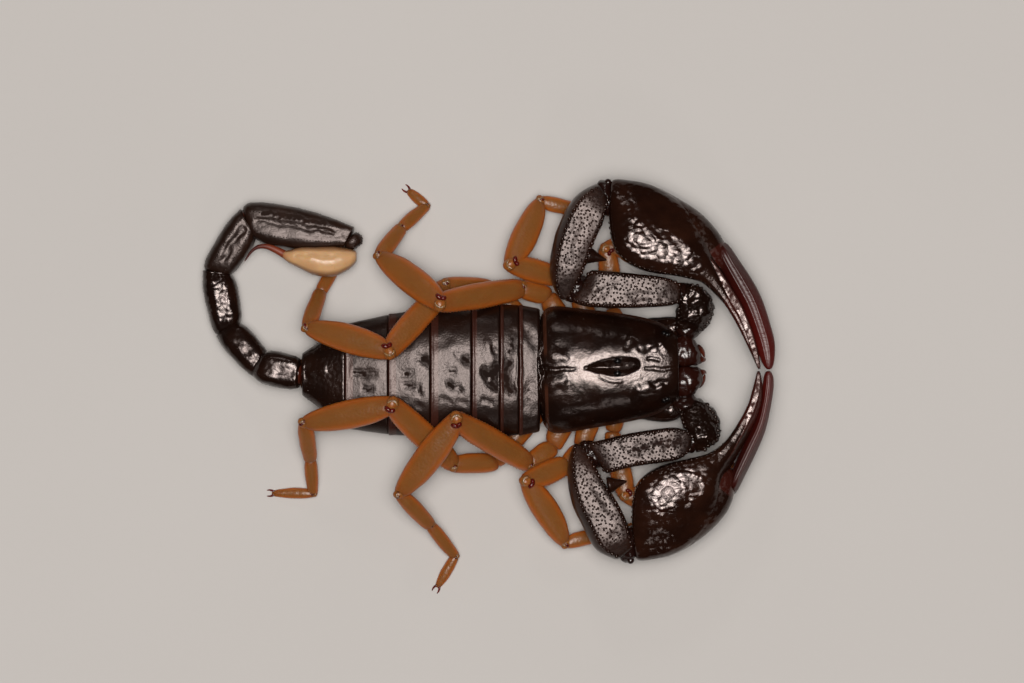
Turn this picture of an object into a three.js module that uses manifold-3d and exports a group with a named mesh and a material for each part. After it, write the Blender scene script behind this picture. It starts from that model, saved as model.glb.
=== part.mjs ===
// A small wood scorpion at rest on a flat floor, life size: claws closed in front of the head, legs
// folded, tail curled round to the animal's left with the sting beside its last ring.
//
// Millimetres. X runs towards the head, Y to the animal's left, Z up. Everything is laid out from a datum,
// the floor point under the middle of the carapace's hind edge, and the whole animal is moved at the end
// so that the origin is the bottom centre of its box.

import * as THREE from 'three';
import { mergeVertices } from 'three/addons/utils/BufferGeometryUtils.js';
import Module from 'manifold-3d';

const wasm = await Module();
wasm.setup();

// ---------------------------------------------------------------- driving dimensions

const JOINT_GAP = 0.04;          // the thin cut between two neighbouring pieces
const CARAPACE_LENGTH = 6.09;
const HEAD_YAW = 0.026;          // radians that the head shield is turned to the left
const WAIST = 0.45;              // the level of the trunk's widest line, as a share of its height
const EYE_RADIUS = 0.14;
const SIDE_EYE_RADIUS = 0.1;
const EYE_FACETS = [7, 4];         // round and up an eye's bead
const COMB_TEETH = 7;
const TALLEST = 5;                // above the highest knee
const LEFT = 1;
const RIGHT = -1;

const UP = new THREE.Vector3(0, 0, 1);

// Finishes: colour, roughness and metalness of each kind of surface.
const FINISH = {
  shell: [0x1c100b, 0.2, 0],
  underside: [0x4a2b18, 0.35, 0],
  leg: [0xa97a45, 0.35, 0],
  finger: [0x451414, 0.22, 0],
  telson: [0xd6b98a, 0.3, 0],
  sting: [0x6e1f10, 0.25, 0],
  jaw: [0x5a2415, 0.3, 0],
  eye: [0x070505, 0.08, 0],
  comb: [0xc9a877, 0.5, 0],
};

// ---------------------------------------------------------------- shaping tools

// One point of a rounded-square outline: power 2 is an ellipse, and more is squarer.
function onOutline(angle, power) {
  const bulge = (value) => Math.sign(value) * Math.abs(value) ** (2 / power);
  return [bulge(Math.sin(angle)), bulge(Math.cos(angle))];
}

// A closed skin over a row of rings with equal numbers of points, made by bending a cylinder's own rings.
function skinOver(rings) {
  const sides = rings[0].length;
  const geometry = new THREE.CylinderGeometry(1, 1, 1, sides, rings.length - 1);
  const centres = rings.map((ring) =>
    ring.reduce((sum, point) => sum.add(point), new THREE.Vector3()).divideScalar(sides));
  const position = geometry.attributes.position;
  for (let i = 0; i < position.count; i += 1) {
    const [x, y, z] = [position.getX(i), position.getY(i), position.getZ(i)];
    const row = Math.round((0.5 - y) * (rings.length - 1));
    const column = Math.round((Math.atan2(x, z) / (2 * Math.PI)) * sides + sides) % sides;
    const onAxis = Math.hypot(x, z) < 0.5;
    const point = onAxis ? centres[row] : rings[row][column];
    position.setXYZ(i, point.x, point.y, point.z);
  }
  return closed(geometry);
}

// The same surface with shared corners, as joining and cutting need it.
function closed(geometry) {
  geometry.deleteAttribute('normal');
  geometry.deleteAttribute('uv');
  return mergeVertices(geometry, 1e-5);
}

function toSolid(geometry) {
  const vertProperties = new Float32Array(geometry.attributes.position.array);
  const triVerts = new Uint32Array(geometry.index.array);
  return new wasm.Manifold(new wasm.Mesh({ numProp: 3, vertProperties, triVerts }));
}

function toGeometry(solid) {
  const mesh = solid.getMesh();
  const geometry = new THREE.BufferGeometry();
  geometry.setAttribute('position', new THREE.BufferAttribute(mesh.vertProperties, 3));
  geometry.setIndex(new THREE.BufferAttribute(mesh.triVerts, 1));
  return geometry;
}

function joined(...geometries) {
  return toGeometry(geometries.map(toSolid).reduce((whole, piece) => whole.add(piece)));
}

function cutFrom(geometry, ...cutters) {
  return toGeometry(cutters.map(toSolid).reduce((rest, cutter) => rest.subtract(cutter), toSolid(geometry)));
}

// A surface that ran from right to left is turned so that its faces point outwards.
function facingOut(geometry) {
  const [a, b, c] = [new THREE.Vector3(), new THREE.Vector3(), new THREE.Vector3()];
  const { position } = geometry.attributes;
  const index = geometry.index.array;
  let volume = 0;
  for (let i = 0; i < index.length; i += 3) {
    a.fromBufferAttribute(position, index[i]);
    b.fromBufferAttribute(position, index[i + 1]);
    c.fromBufferAttribute(position, index[i + 2]);
    volume += a.dot(b.cross(c));
  }
  if (volume < 0) {
    for (let i = 0; i < index.length; i += 3) {
      [index[i], index[i + 1]] = [index[i + 1], index[i]];
    }
  }
  return geometry;
}

// What would dip below the floor is pressed flat on it.
function laidOnFloor(geometry) {
  const { position } = geometry.attributes;
  for (let i = 0; i < position.count; i += 1) {
    position.setZ(i, Math.max(0, position.getZ(i)));
  }
  return geometry;
}

// A body between two edges seen from above, each a row of [x, y]. Heights are the [top, bottom] levels of
// the same rows, and waist is the share of the height at which the body is widest.
function betweenEdges(edgeA, edgeB, heights, { sides = 12, power = 2.3, waist = 0.5, between = 2 } = {}) {
  const curve = (rows) => new THREE.SplineCurve(rows.map(([x, y]) => new THREE.Vector2(x, y)));
  const [curveA, curveB, levels] = [curve(edgeA), curve(edgeB), curve(heights)];
  const count = (edgeA.length - 1) * between;
  const rings = [];
  for (let i = 0; i <= count; i += 1) {
    const [a, b, level] = [curveA, curveB, levels].map((line) => line.getPoint(i / count));
    const middle = THREE.MathUtils.lerp(level.y, level.x, waist);
    const ring = [];
    for (let k = 0; k < sides; k += 1) {
      const [across, upward] = onOutline((2 * Math.PI * k) / sides, power);
      const place = a.clone().lerp(b, 0.5 - across / 2);
      const rise = upward > 0 ? level.x - middle : middle - level.y;
      ring.push(new THREE.Vector3(place.x, place.y, middle + upward * rise));
    }
    rings.push(ring);
  }
  return facingOut(skinOver(rings));
}

// The plane that two neighbouring lengths of a chain share, given by its normal.
function mitre(chain, joint) {
  const normal = new THREE.Vector3();
  if (joint > 0) {
    normal.add(chain[joint].clone().sub(chain[joint - 1]).normalize());
  }
  if (joint < chain.length - 1) {
    normal.add(chain[joint + 1].clone().sub(chain[joint]).normalize());
  }
  return normal.normalize();
}

// One piece of a jointed chain, from its joint first onwards, with one profile for each length. A profile's
// rows are [share of the length, width, depth]. The ends are mitred with the neighbouring pieces.
function chainPiece(chain, first, profiles, { sides = 8, power = 2.2 } = {}) {
  const rings = [];
  profiles.forEach((profile, i) => {
    const start = chain[first + i];
    const reach = chain[first + i + 1].clone().sub(start);
    const length = reach.length();
    const along = reach.normalize();
    const side = UP.clone().cross(along).normalize();
    const up = along.clone().cross(side);
    const [startFace, endFace] = [mitre(chain, first + i), mitre(chain, first + i + 1)];
    const startCut = i === 0 ? JOINT_GAP / 2 : 0;
    const endCut = i === profiles.length - 1 ? JOINT_GAP / 2 : 0;
    profile.forEach(([share, width, depth]) => {
      const ring = [];
      for (let k = 0; k < sides; k += 1) {
        const [across, upward] = onOutline((2 * Math.PI * k) / sides, power);
        const offset = side.clone().multiplyScalar((across * width) / 2);
        offset.addScaledVector(up, (upward * depth) / 2);
        const from = (startCut - offset.dot(startFace)) / along.dot(startFace);
        const to = length - (endCut + offset.dot(endFace)) / along.dot(endFace);
        ring.push(start.clone().add(offset).addScaledVector(along, THREE.MathUtils.lerp(from, to, share)));
      }
      const bend = i > 0 && share === 0;
      rings.push(bend ? ring.map((point, k) => point.lerp(rings.at(-1)[k], 0.5)) : ring);
      if (bend) {
        rings.splice(-2, 1);
      }
    });
  });
  return facingOut(skinOver(rings));
}

function points(rows) {
  return rows.map(([x, y, z]) => new THREE.Vector3(x, y, z));
}

function ellipsoid(centre, radii, columns = 10, rows = 6) {
  const geometry = new THREE.SphereGeometry(1, columns, rows);
  geometry.rotateX(Math.PI / 2);
  geometry.scale(...radii);
  geometry.translate(...centre);
  return closed(geometry);
}

// A row [x, middle, half width] becomes the two edges that it spans.
function edgesOf(rows) {
  return [rows.map(([x, y, half]) => [x, y + half]), rows.map(([x, y, half]) => [x, y - half])];
}

const scorpion = new THREE.Group();

function addPart(name, geometry, finish) {
  const [color, roughness, metalness] = FINISH[finish];
  const mesh = new THREE.Mesh(geometry, new THREE.MeshStandardMaterial({ color, roughness, metalness }));
  mesh.name = name;
  scorpion.add(mesh);
}

// ---------------------------------------------------------------- trunk

// Borders between the seven trunk rings, from the head back: x, middle, half width, top, bottom.
const TRUNK = [
  [-0.09, 0, 2.76, 3.38, 1.78],
  [-0.98, 0, 2.9, 3.4, 0.82],
  [-1.82, 0, 2.93, 3.42, 0.74],
  [-3.07, -0.02, 2.93, 3.42, 0.72],
  [-4.89, -0.09, 2.86, 3.38, 0.72],
  [-6.76, -0.2, 2.68, 3.25, 0.76],
  [-8.67, -0.27, 2.32, 2.98, 0.92],
  [-10.58, -0.18, 0.92, 2.6, 1.45],
];

// A trunk ring swells a little from its front edge to its raised hind rim.
function trunkRing(front, back) {
  const at = (share) => front.map((value, i) => THREE.MathUtils.lerp(value, back[i], share));
  const cut = JOINT_GAP / 2 / (front[0] - back[0]);
  const shares = [[cut, 0.95], [0.18, 0.99], [0.5, 1.01], [0.85, 1.02], [1 - cut, 1]];
  const rows = shares.map(([share, swell]) => {
    const [x, middle, half, top, bottom] = at(share);
    return { plan: [x, middle, half * swell], levels: [top * (0.6 + 0.4 * swell), bottom] };
  });
  const [left, right] = edgesOf(rows.map((row) => row.plan));
  const levels = rows.map((row) => row.levels);
  return betweenEdges(left, right, levels, { sides: 16, power: 2.35, waist: WAIST, between: 1 });
}

// ---------------------------------------------------------------- head shield

// Rows of x, middle, half width, top, bottom from the rounded hind edge to the straight front edge.
const CARAPACE = [
  [-0.04, 0, 1.5, 3.34, 2.2],
  [0.2, 0, 2.3, 3.46, 2.0],
  [0.65, 0, 2.78, 3.56, 1.95],
  [1.8, 0, 2.66, 3.62, 1.95],
  [3.4, 0, 2.43, 3.6, 1.97],
  [4.5, 0, 2.22, 3.48, 2.0],
  [5.35, 0, 1.86, 3.32, 2.05],
  [CARAPACE_LENGTH, 0, 1.32, 3.08, 2.2],
];

// Turns a shape made on the straight centre line to the head's own direction.
function onHead(geometry) {
  return geometry.rotateZ(HEAD_YAW);
}

function carapaceShell() {
  const [left, right] = edgesOf(CARAPACE);
  const levels = CARAPACE.map((row) => row.slice(3));
  const dome = betweenEdges(left, right, levels, { sides: 20, power: 2.5, waist: 0.12, between: 1 });
  const mound = ellipsoid([3.4, 0.03, 3.54], [0.85, 0.42, 0.22]);
  return onHead(joined(dome, mound));
}

const carapace = carapaceShell();
addPart('carapace', carapace, 'shell');

// The level of a shell's outer surface at one place seen from above.
function surfaceLevel(shell, x, y) {
  const above = new THREE.Vector3(x, y, 2 * TALLEST);
  const ray = new THREE.Raycaster(above, UP.clone().negate());
  return ray.intersectObject(new THREE.Mesh(shell))[0].point.z;
}

// An eye is a row of touching beads, each sunk to a share of its radius, less the shell that they sit in.
function eyeOn(shell, places, radius, rise) {
  const beads = places.map(([x, y]) =>
    ellipsoid([x, y, surfaceLevel(shell, x, y) + radius * rise], [radius, radius, radius], ...EYE_FACETS));
  return cutFrom(joined(...beads), shell).translate(0, 0, JOINT_GAP / 2);
}

for (const [name, hand] of [['left', LEFT], ['right', RIGHT]]) {
  addPart(`eye_median_${name}`, eyeOn(carapace, [[3.4, 0.13 + hand * 0.27]], EYE_RADIUS, 0.3), 'eye');
  const sideEyes = [[5.56, 0.15 + hand * 1.42], [5.42, 0.15 + hand * 1.48]];
  addPart(`eyes_lateral_${name}`, eyeOn(carapace, sideEyes, SIDE_EYE_RADIUS, 0.4), 'eye');
}

// ---------------------------------------------------------------- jaws

for (const [name, hand] of [['left', LEFT], ['right', RIGHT]]) {
  const start = CARAPACE_LENGTH + JOINT_GAP;
  const outer = [[start, 1.1], [6.5, 1.1], [6.85, 0.95], [7.06, 0.75], [7.18, 0.52]];
  const inner = [[start, 0.04], [6.5, 0.04], [6.85, 0.07], [7.06, 0.14], [7.18, 0.3]];
  const mirrored = (rows) => rows.map(([x, y]) => [x, hand * y]);
  const levels = [[3.0, 1.85], [2.98, 1.85], [2.8, 1.8], [2.5, 1.75], [2.2, 1.8]];
  const jaw = betweenEdges(mirrored(outer), mirrored(inner), levels, { sides: 10, between: 1, power: 2.4 });
  addPart(`chelicera_${name}`, onHead(jaw), 'jaw');
}

// ---------------------------------------------------------------- legs

// Joints of each leg from the hip's root: hip end, trochanter end, knee, patella end, tibia end,
// basitarsus end and foot tip.
const LEGS = {
  leg_1_left: [[3.7, 0.7, 1.1], [3.16, 2.76, 0.85], [3.16, 3.29, 0.82], [2.93, 5.33, 1.0],
    [5.07, 5.78, 0.62], [6.36, 5.42, 0.45], [7.2, 4.76, 0.24], [7.91, 3.96, 0.06]],
  leg_2_left: [[2.7, 0.7, 1.1], [1.6, 3.45, 1.1], [0.8, 4.08, 1.3], [-1.29, 4.71, 2.45],
    [0.0, 7.47, 1.0], [1.73, 7.07, 0.68], [3.11, 7.29, 0.26], [4.53, 7.42, 0.06]],
  leg_3_left: [[1.7, 0.7, 1.1], [0.25, 3.3, 1.05], [-0.85, 3.6, 1.7], [-4.44, 3.0, 4.15],
    [-7.11, 5.07, 2.3], [-6.18, 6.31, 1.2], [-5.11, 7.29, 0.27], [-5.87, 7.95, 0.06]],
  leg_4_left: [[0.7, 0.7, 1.1], [-2.3, 3.64, 1.3], [-4.2, 3.72, 2.5], [-6.71, 0.89, 4.2],
    [-10.31, 1.91, 2.75], [-9.78, 3.47, 1.0], [-9.11, 4.67, 0.28], [-8.22, 5.78, 0.06]],
  leg_1_right: [[3.7, -0.7, 1.1], [3.16, -2.76, 0.85], [3.24, -3.29, 0.82], [3.78, -5.51, 1.0],
    [5.82, -6.0, 0.62], [7.07, -5.42, 0.45], [7.82, -4.8, 0.24], [8.53, -4.13, 0.06]],
  leg_2_right: [[2.7, -0.7, 1.1], [1.75, -3.5, 1.1], [1.15, -4.15, 1.4], [-0.58, -4.93, 2.5],
    [1.11, -7.64, 1.0], [2.84, -7.24, 0.68], [4.22, -6.98, 0.26], [5.64, -7.02, 0.06]],
  leg_3_right: [[1.7, -0.7, 1.1], [0.49, -3.42, 1.05], [-0.5, -4.12, 1.6], [-3.73, -2.22, 4.2],
    [-6.22, -5.47, 2.8], [-4.89, -6.89, 1.35], [-3.82, -8.27, 0.28], [-4.58, -9.6, 0.06]],
  leg_4_right: [[0.7, -0.7, 1.1], [-2.09, -4.09, 1.1], [-3.85, -4.15, 2.0], [-6.58, -1.56, 4.2],
    [-10.44, -2.36, 2.75], [-10.22, -4.0, 1.2], [-10.13, -5.47, 0.28], [-11.87, -5.47, 0.06]],
};
const LEG_BULK = { 1: 0.82, 2: 0.92, 3: 1, 4: 1 };      // thickness of each pair beside the hind pair

// Rows of share, width, depth for each length of a leg.
const HIP = [[0, 0.9, 0.85], [0.6, 1.1, 0.95], [1, 0.82, 0.7]];
const TROCHANTER = [[0, 0.75, 0.65], [0.45, 0.95, 0.75], [1, 0.85, 0.68]];
const FEMUR = [[0, 0.85, 0.68], [0.15, 1.06, 0.74], [0.55, 1.2, 0.78], [0.88, 1.06, 0.74], [1, 0.8, 0.6]];
const PATELLA = [[0, 0.75, 0.6], [0.13, 1.12, 0.76], [0.45, 1.36, 0.88], [0.82, 1.12, 0.78], [1, 0.62, 0.5]];
const TIBIA = [[0, 0.62, 0.5], [0.3, 0.8, 0.62], [1, 0.64, 0.52]];
const BASITARSUS = [[0, 0.6, 0.5], [0.5, 0.62, 0.52], [1, 0.5, 0.44]];
const TELOTARSUS = [[0, 0.46, 0.44], [0.5, 0.52, 0.42], [1, 0.32, 0.3]];
const CLAW = [[0, 0.2, 0.2], [1, 0.16, 0.16]];
const CLAW_POINT = [[0, 0.14, 0.14], [1, 0.07, 0.07]];
const CLAW_REACH = 0.42;
const CLAW_SPREAD = 0.75;              // radians between a claw and the foot's own direction
const CLAW_ROOT = 0.12;                // how far behind the foot's tip a claw starts
const CLAW_ARCH = 0.16;                // the level of a claw's bend
const CLAW_TOE = 0.06;                 // the level of its point
const HIP_CLEARANCE = 1.12;            // the trunk leaves this much room round the hind hips

function scaledProfile(profile, bulk) {
  return profile.map(([share, width, depth]) => [share, width * bulk, depth * bulk]);
}

// A pair of claws spreads from the foot's tip.
function footClaws(ankle, tip) {
  const heading = tip.clone().sub(ankle).setZ(0).normalize();
  return [LEFT, RIGHT].map((hand) => {
    const spread = heading.clone().applyAxisAngle(UP, hand * CLAW_SPREAD);
    const root = tip.clone().addScaledVector(heading, -CLAW_ROOT);
    const bend = root.clone().addScaledVector(spread, CLAW_REACH * 0.7).setZ(CLAW_ARCH);
    const point = bend.clone().addScaledVector(heading.lerp(spread, 0.7), CLAW_REACH * 0.7).setZ(CLAW_TOE);
    return chainPiece([root, bend, point], 0, [CLAW, CLAW_POINT], { sides: 4, power: 2 });
  });
}

const hips = [];
const hindHipRoom = [];
for (const [name, rows] of Object.entries(LEGS)) {
  const chain = points(rows);
  const bulk = LEG_BULK[name.split('_')[1]];
  const [hip, trochanter, femur, patella, tibia, basitarsus, telotarsus] =
    [HIP, TROCHANTER, FEMUR, PATELLA, TIBIA, BASITARSUS, TELOTARSUS].map((row) => scaledProfile(row, bulk));
  hips.push(chainPiece(chain, 0, [hip]));
  if (name.startsWith('leg_4')) {
    hindHipRoom.push(chainPiece(chain, 0, [scaledProfile(HIP, HIP_CLEARANCE)]));
  }
  addPart(`${name}_femur`, chainPiece(chain, 1, [trochanter, femur]), 'leg');
  addPart(`${name}_patella`, chainPiece(chain, 3, [patella]), 'leg');
  const lowerLeg = chainPiece(chain, 4, [tibia, basitarsus, telotarsus]);
  const foot = joined(lowerLeg, ...footClaws(chain[6], chain[7]));
  addPart(`${name}_tarsus`, laidOnFloor(foot), 'leg');
}

// The first trunk ring lies over the hips of the hind legs, and the second is cut back round them.
for (let ring = 0; ring < TRUNK.length - 1; ring += 1) {
  const [front, back] = [TRUNK[ring], TRUNK[ring + 1]];
  const body = ring === 0 ? trunkRing(front, [...back.slice(0, 4), front[4]]) : trunkRing(front, back);
  addPart(`mesosoma_${ring + 1}`, ring === 1 ? cutFrom(body, ...hindHipRoom) : body, 'shell');
}

// ---------------------------------------------------------------- underside

// The breast plates and the eight hips are grown together: x, middle, half width, top, bottom.
const BREAST = [
  [3.92, 0, 0.9, 1.7, 0.75],
  [3.0, 0, 1.25, 1.75, 0.6],
  [1.2, 0, 1.35, 1.75, 0.58],
  [-0.93, 0, 1.2, 1.72, 0.62],
];
const [breastLeft, breastRight] = edgesOf(BREAST);
const breastLevels = BREAST.map((row) => row.slice(3));
const breast = betweenEdges(breastLeft, breastRight, breastLevels, { sides: 10, between: 1 });
addPart('coxosternum', joined(breast, ...hips), 'underside');

// A comb hangs under the belly on each side of the middle, with a row of teeth on its hind edge.
const COMB_ROOT = [-1.05, 0.3];
const COMB_TIP = [-2.45, 1.95];
const COMB_LEVELS = [[0.68, 0.4], [0.68, 0.38], [0.66, 0.42]];
const COMB_WIDTH = 0.34;
const TOOTH_LENGTH = 0.42;
const TOOTH_LEVEL = 0.5;
const TOOTH_LEAN = 0.03;               // how far a tooth leans to the comb's tip, as a share of the comb
const TOOTH_PROFILE = [[0, 0.13, 0.16], [1, 0.1, 0.12]];

function comb(hand) {
  const [dx, dy] = [COMB_TIP[0] - COMB_ROOT[0], COMB_TIP[1] - COMB_ROOT[1]];
  const length = Math.hypot(dx, dy);
  const [sideX, sideY] = [-dy / length, dx / length];
  const at = (share, offset) =>
    [COMB_ROOT[0] + dx * share + sideX * offset, hand * (COMB_ROOT[1] + dy * share + sideY * offset)];
  const front = [at(0, -COMB_WIDTH / 2), at(0.5, -COMB_WIDTH / 2), at(1, -COMB_WIDTH / 4)];
  const back = [at(0, COMB_WIDTH / 2), at(0.5, COMB_WIDTH / 2), at(1, COMB_WIDTH / 4)];
  const stem = betweenEdges(front, back, COMB_LEVELS, { sides: 6, between: 1 });
  const teeth = Array.from({ length: COMB_TEETH }, (_, i) => {
    const share = (i + 0.7) / COMB_TEETH;
    const ends = [at(share, 0), at(share + TOOTH_LEAN, COMB_WIDTH / 2 + TOOTH_LENGTH)];
    const line = points(ends.map(([x, y]) => [x, y, TOOTH_LEVEL]));
    return chainPiece(line, 0, [TOOTH_PROFILE], { sides: 4, power: 2 });
  });
  return joined(stem, ...teeth);
}

addPart('pecten_left', comb(LEFT), 'comb');
addPart('pecten_right', comb(RIGHT), 'comb');

// ---------------------------------------------------------------- tail

// The middle of the last trunk ring, then the joints of the five tail rings, and rows of share, width and
// depth for each ring.
const TAIL = points([
  [-9.6, -0.18, 2.05], [-10.66, -0.18, 2.02], [-12.4, 0.18, 1.35], [-13.87, 1.78, 0.74],
  [-14.38, 4.4, 0.64], [-12.95, 6.62, 1.02], [-8.45, 5.88, 1.3], [-8.14, 5.42, 1.35],
]);
const TAIL_PROFILES = [
  [[0, 1.3, 1.2], [0.2, 1.6, 1.45], [0.75, 1.62, 1.5], [1, 1.2, 1.2]],
  [[0, 1.2, 1.2], [0.2, 1.42, 1.45], [0.75, 1.46, 1.5], [1, 1.2, 1.25]],
  [[0, 1.2, 1.25], [0.2, 1.5, 1.56], [0.75, 1.55, 1.6], [1, 1.25, 1.3]],
  [[0, 1.25, 1.3], [0.2, 1.48, 1.5], [0.75, 1.55, 1.5], [1, 1.3, 1.3]],
  [[0, 1.35, 1.3], [0.12, 1.68, 1.5], [0.5, 1.54, 1.46], [0.72, 1.24, 1.3], [0.9, 0.96, 1.1], [1, 0.8, 1.0]],
];
const TAIL_END = [[0, 0.76, 0.95], [1, 0.6, 0.75]];

TAIL_PROFILES.forEach((profile, i) => {
  const profiles = i === TAIL_PROFILES.length - 1 ? [profile, TAIL_END] : [profile];
  const ring = chainPiece(TAIL, i + 1, profiles, { sides: 12, power: 2.9 });
  addPart(`metasoma_${i + 1}`, laidOnFloor(ring), 'shell');
});

// The sting's bulb lies beside the last ring: x, middle, half width, top, bottom.
const BULB = [
  [-8.17, 5.03, 0.2, 1.75, 1.05],
  [-8.42, 4.93, 0.36, 2.0, 0.9],
  [-9.16, 4.83, 0.62, 2.15, 0.85],
  [-10.04, 4.82, 0.61, 2.12, 0.86],
  [-10.71, 4.92, 0.47, 1.98, 0.98],
  [-11.16, 5.02, 0.3, 1.82, 1.15],
  [-11.45, 5.13, 0.17, 1.7, 1.32],
];
const [bulbLeft, bulbRight] = edgesOf(BULB);
addPart('telson_vesicle', betweenEdges(bulbLeft, bulbRight, BULB.map((row) => row.slice(3)),
  { sides: 12, power: 2, between: 1 }), 'telson');

// The sting itself is one curved cone.
const STING = new THREE.CatmullRomCurve3(points([
  [-11.49, 5.14, 1.51], [-12.1, 5.47, 1.5], [-12.7, 5.38, 1.44], [-13.14, 4.82, 1.3],
]));
const STING_STEPS = 6;
const STING_WIDTHS = [0.36, 0.1];      // at its root and at its point
const stingChain = STING.getPoints(STING_STEPS);
const stingWidth = (step) => THREE.MathUtils.lerp(...STING_WIDTHS, step / STING_STEPS);
const stingProfiles = Array.from({ length: STING_STEPS }, (_, i) =>
  [[0, stingWidth(i), stingWidth(i)], [1, stingWidth(i + 1), stingWidth(i + 1)]]);
addPart('telson_aculeus', chainPiece(stingChain, 0, stingProfiles, { sides: 8, power: 2 }), 'sting');

// ---------------------------------------------------------------- pedipalps

// Each length of an arm lies between its outer and its inner edge, with its top and bottom levels.
const ARMS = {
  left: {
    coxa: {
      outer: [[3.98, 2.15], [4.9, 2.35], [5.85, 2.4], [6.3, 2.2]],
      inner: [[4.02, 1.0], [5.2, 0.75], [6.2, 1.35], [6.45, 1.7]],
      levels: [[1.75, 0.85], [1.86, 0.75], [1.95, 0.85], [1.9, 1.0]],
    },
    trochanter: {
      outer: [[6.78, 1.8], [7.45, 2.25], [7.62, 2.95], [7.2, 3.6], [6.45, 3.85]],
      inner: [[6.45, 2.2], [6.5, 2.5], [6.48, 2.75], [6.42, 2.95], [6.35, 3.1]],
      levels: [[2.3, 1.2], [2.7, 1.25], [2.95, 1.45], [3.1, 1.6], [2.9, 1.8]],
    },
    femur: {
      outer: [[6.15, 3.85], [5.3, 4.15], [3.8, 4.3], [2.6, 4.42], [2.15, 4.42]],
      inner: [[6.22, 3.05], [5.6, 2.82], [3.9, 2.74], [2.2, 2.76], [1.3, 3.02]],
      levels: [[3.1, 1.9], [3.28, 1.78], [3.34, 1.72], [3.32, 1.72], [3.15, 1.9]],
    },
    patella: {
      outer: [[0.8, 3.14], [0.42, 3.9], [0.36, 4.75], [0.5, 5.6], [0.86, 6.7], [1.55, 7.75], [2.5, 8.3]],
      inner: [[1.15, 3.1], [1.68, 3.95], [2.0, 4.7], [2.32, 5.6], [2.72, 6.45], [2.9, 7.15], [2.98, 7.55]],
      levels: [[3.15, 2.0], [3.4, 1.7], [3.5, 1.6], [3.55, 1.55], [3.55, 1.55], [3.5, 1.65], [3.3, 1.85]],
    },
    chela: {
      outer: [[3.2, 8.5], [4.62, 8.31], [5.95, 7.65], [7.1, 6.95], [7.98, 5.95], [7.6, 5.0], [8.58, 3.13],
        [9.36, 1.35], [9.68, 0.2]],
      inner: [[3.1, 7.0], [3.24, 5.24], [4.4, 4.44], [5.96, 4.18], [6.8, 4.0], [7.3, 3.76], [8.2, 2.87],
        [9.0, 1.45], [9.52, 0.15]],
      levels: [[3.45, 1.75], [3.9, 1.35], [4.0, 1.25], [3.95, 1.35], [3.85, 1.6], [3.72, 1.95], [3.55, 2.3],
        [3.4, 2.5], [3.3, 2.75]],
    },
    finger: {
      outer: [[8.14, 5.78], [8.55, 5.1], [9.29, 4.0], [9.73, 3.11], [10.09, 2.0], [10.27, 1.11],
        [10.31, 0.12]],
      inner: [[7.76, 5.2], [7.89, 4.68], [8.42, 3.62], [8.88, 2.8], [9.34, 1.8], [9.64, 0.98], [9.9, 0.1]],
      levels: [[3.3, 1.85], [3.3, 1.9], [3.25, 1.95], [3.2, 2.05], [3.15, 2.2], [3.1, 2.4], [3.05, 2.7]],
    },
    spur: [[2.0, 5.1, 2.6], [2.45, 4.98, 2.6], [2.93, 4.89, 2.6]],
  },
  right: {
    coxa: {
      outer: [[3.98, -2.15], [4.9, -2.3], [5.8, -2.3], [6.2, -2.05]],
      inner: [[4.02, -1.0], [5.2, -0.75], [6.1, -1.2], [6.4, -1.6]],
      levels: [[1.75, 0.85], [1.86, 0.75], [1.95, 0.85], [1.9, 1.0]],
    },
    trochanter: {
      outer: [[7.0, -1.25], [7.85, -2.0], [7.85, -2.6], [7.7, -3.2], [6.95, -3.62]],
      inner: [[6.4, -1.85], [6.62, -2.15], [6.78, -2.4], [6.85, -2.65], [6.87, -2.9]],
      levels: [[2.3, 1.2], [2.7, 1.25], [2.95, 1.45], [3.1, 1.6], [2.9, 1.8]],
    },
    femur: {
      outer: [[6.6, -3.55], [5.9, -4.0], [4.2, -4.25], [3.2, -4.5], [2.85, -4.58]],
      inner: [[6.72, -2.85], [5.95, -2.52], [4.3, -2.7], [2.85, -3.02], [1.95, -3.2]],
      levels: [[3.1, 1.9], [3.28, 1.78], [3.34, 1.72], [3.32, 1.72], [3.15, 1.9]],
    },
    patella: {
      outer: [[1.45, -3.24], [1.2, -4.0], [1.15, -4.9], [1.38, -6.0], [1.94, -7.15], [2.42, -7.95],
        [3.35, -8.42]],
      inner: [[1.8, -3.3], [2.3, -4.1], [2.75, -4.9], [3.36, -5.8], [3.8, -6.7], [3.96, -7.35],
        [4.04, -7.85]],
      levels: [[3.15, 2.0], [3.4, 1.7], [3.5, 1.6], [3.55, 1.55], [3.55, 1.55], [3.5, 1.65], [3.3, 1.85]],
    },
    chela: {
      outer: [[4.3, -8.5], [5.7, -8.25], [6.75, -7.7], [7.75, -6.85], [8.36, -6.0], [8.12, -4.85],
        [8.72, -3.62], [9.54, -2.0], [9.72, -1.0], [9.68, -0.14]],
      inner: [[4.12, -7.1], [4.13, -5.2], [5.07, -4.31], [6.4, -3.95], [7.1, -3.8], [7.6, -3.6],
        [8.22, -3.15], [9.04, -1.85], [9.33, -0.95], [9.5, -0.14]],
      levels: [[3.45, 1.75], [3.9, 1.35], [4.0, 1.25], [3.95, 1.35], [3.85, 1.6], [3.72, 1.95], [3.58, 2.25],
        [3.42, 2.45], [3.35, 2.6], [3.3, 2.75]],
    },
    finger: {
      outer: [[8.6, -5.5], [8.88, -4.84], [9.4, -3.78], [9.85, -2.67], [10.09, -1.56], [10.22, -0.6],
        [10.24, -0.12]],
      inner: [[8.36, -4.9], [8.56, -4.3], [9.02, -3.25], [9.5, -2.3], [9.74, -1.4], [9.86, -0.6],
        [9.92, -0.12]],
      levels: [[3.3, 1.85], [3.3, 1.9], [3.25, 1.95], [3.2, 2.05], [3.15, 2.2], [3.1, 2.4], [3.05, 2.7]],
    },
    spur: [[2.9, -5.1, 2.6], [3.35, -5.0, 2.6], [3.78, -4.93, 2.6]],
  },
};
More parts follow.
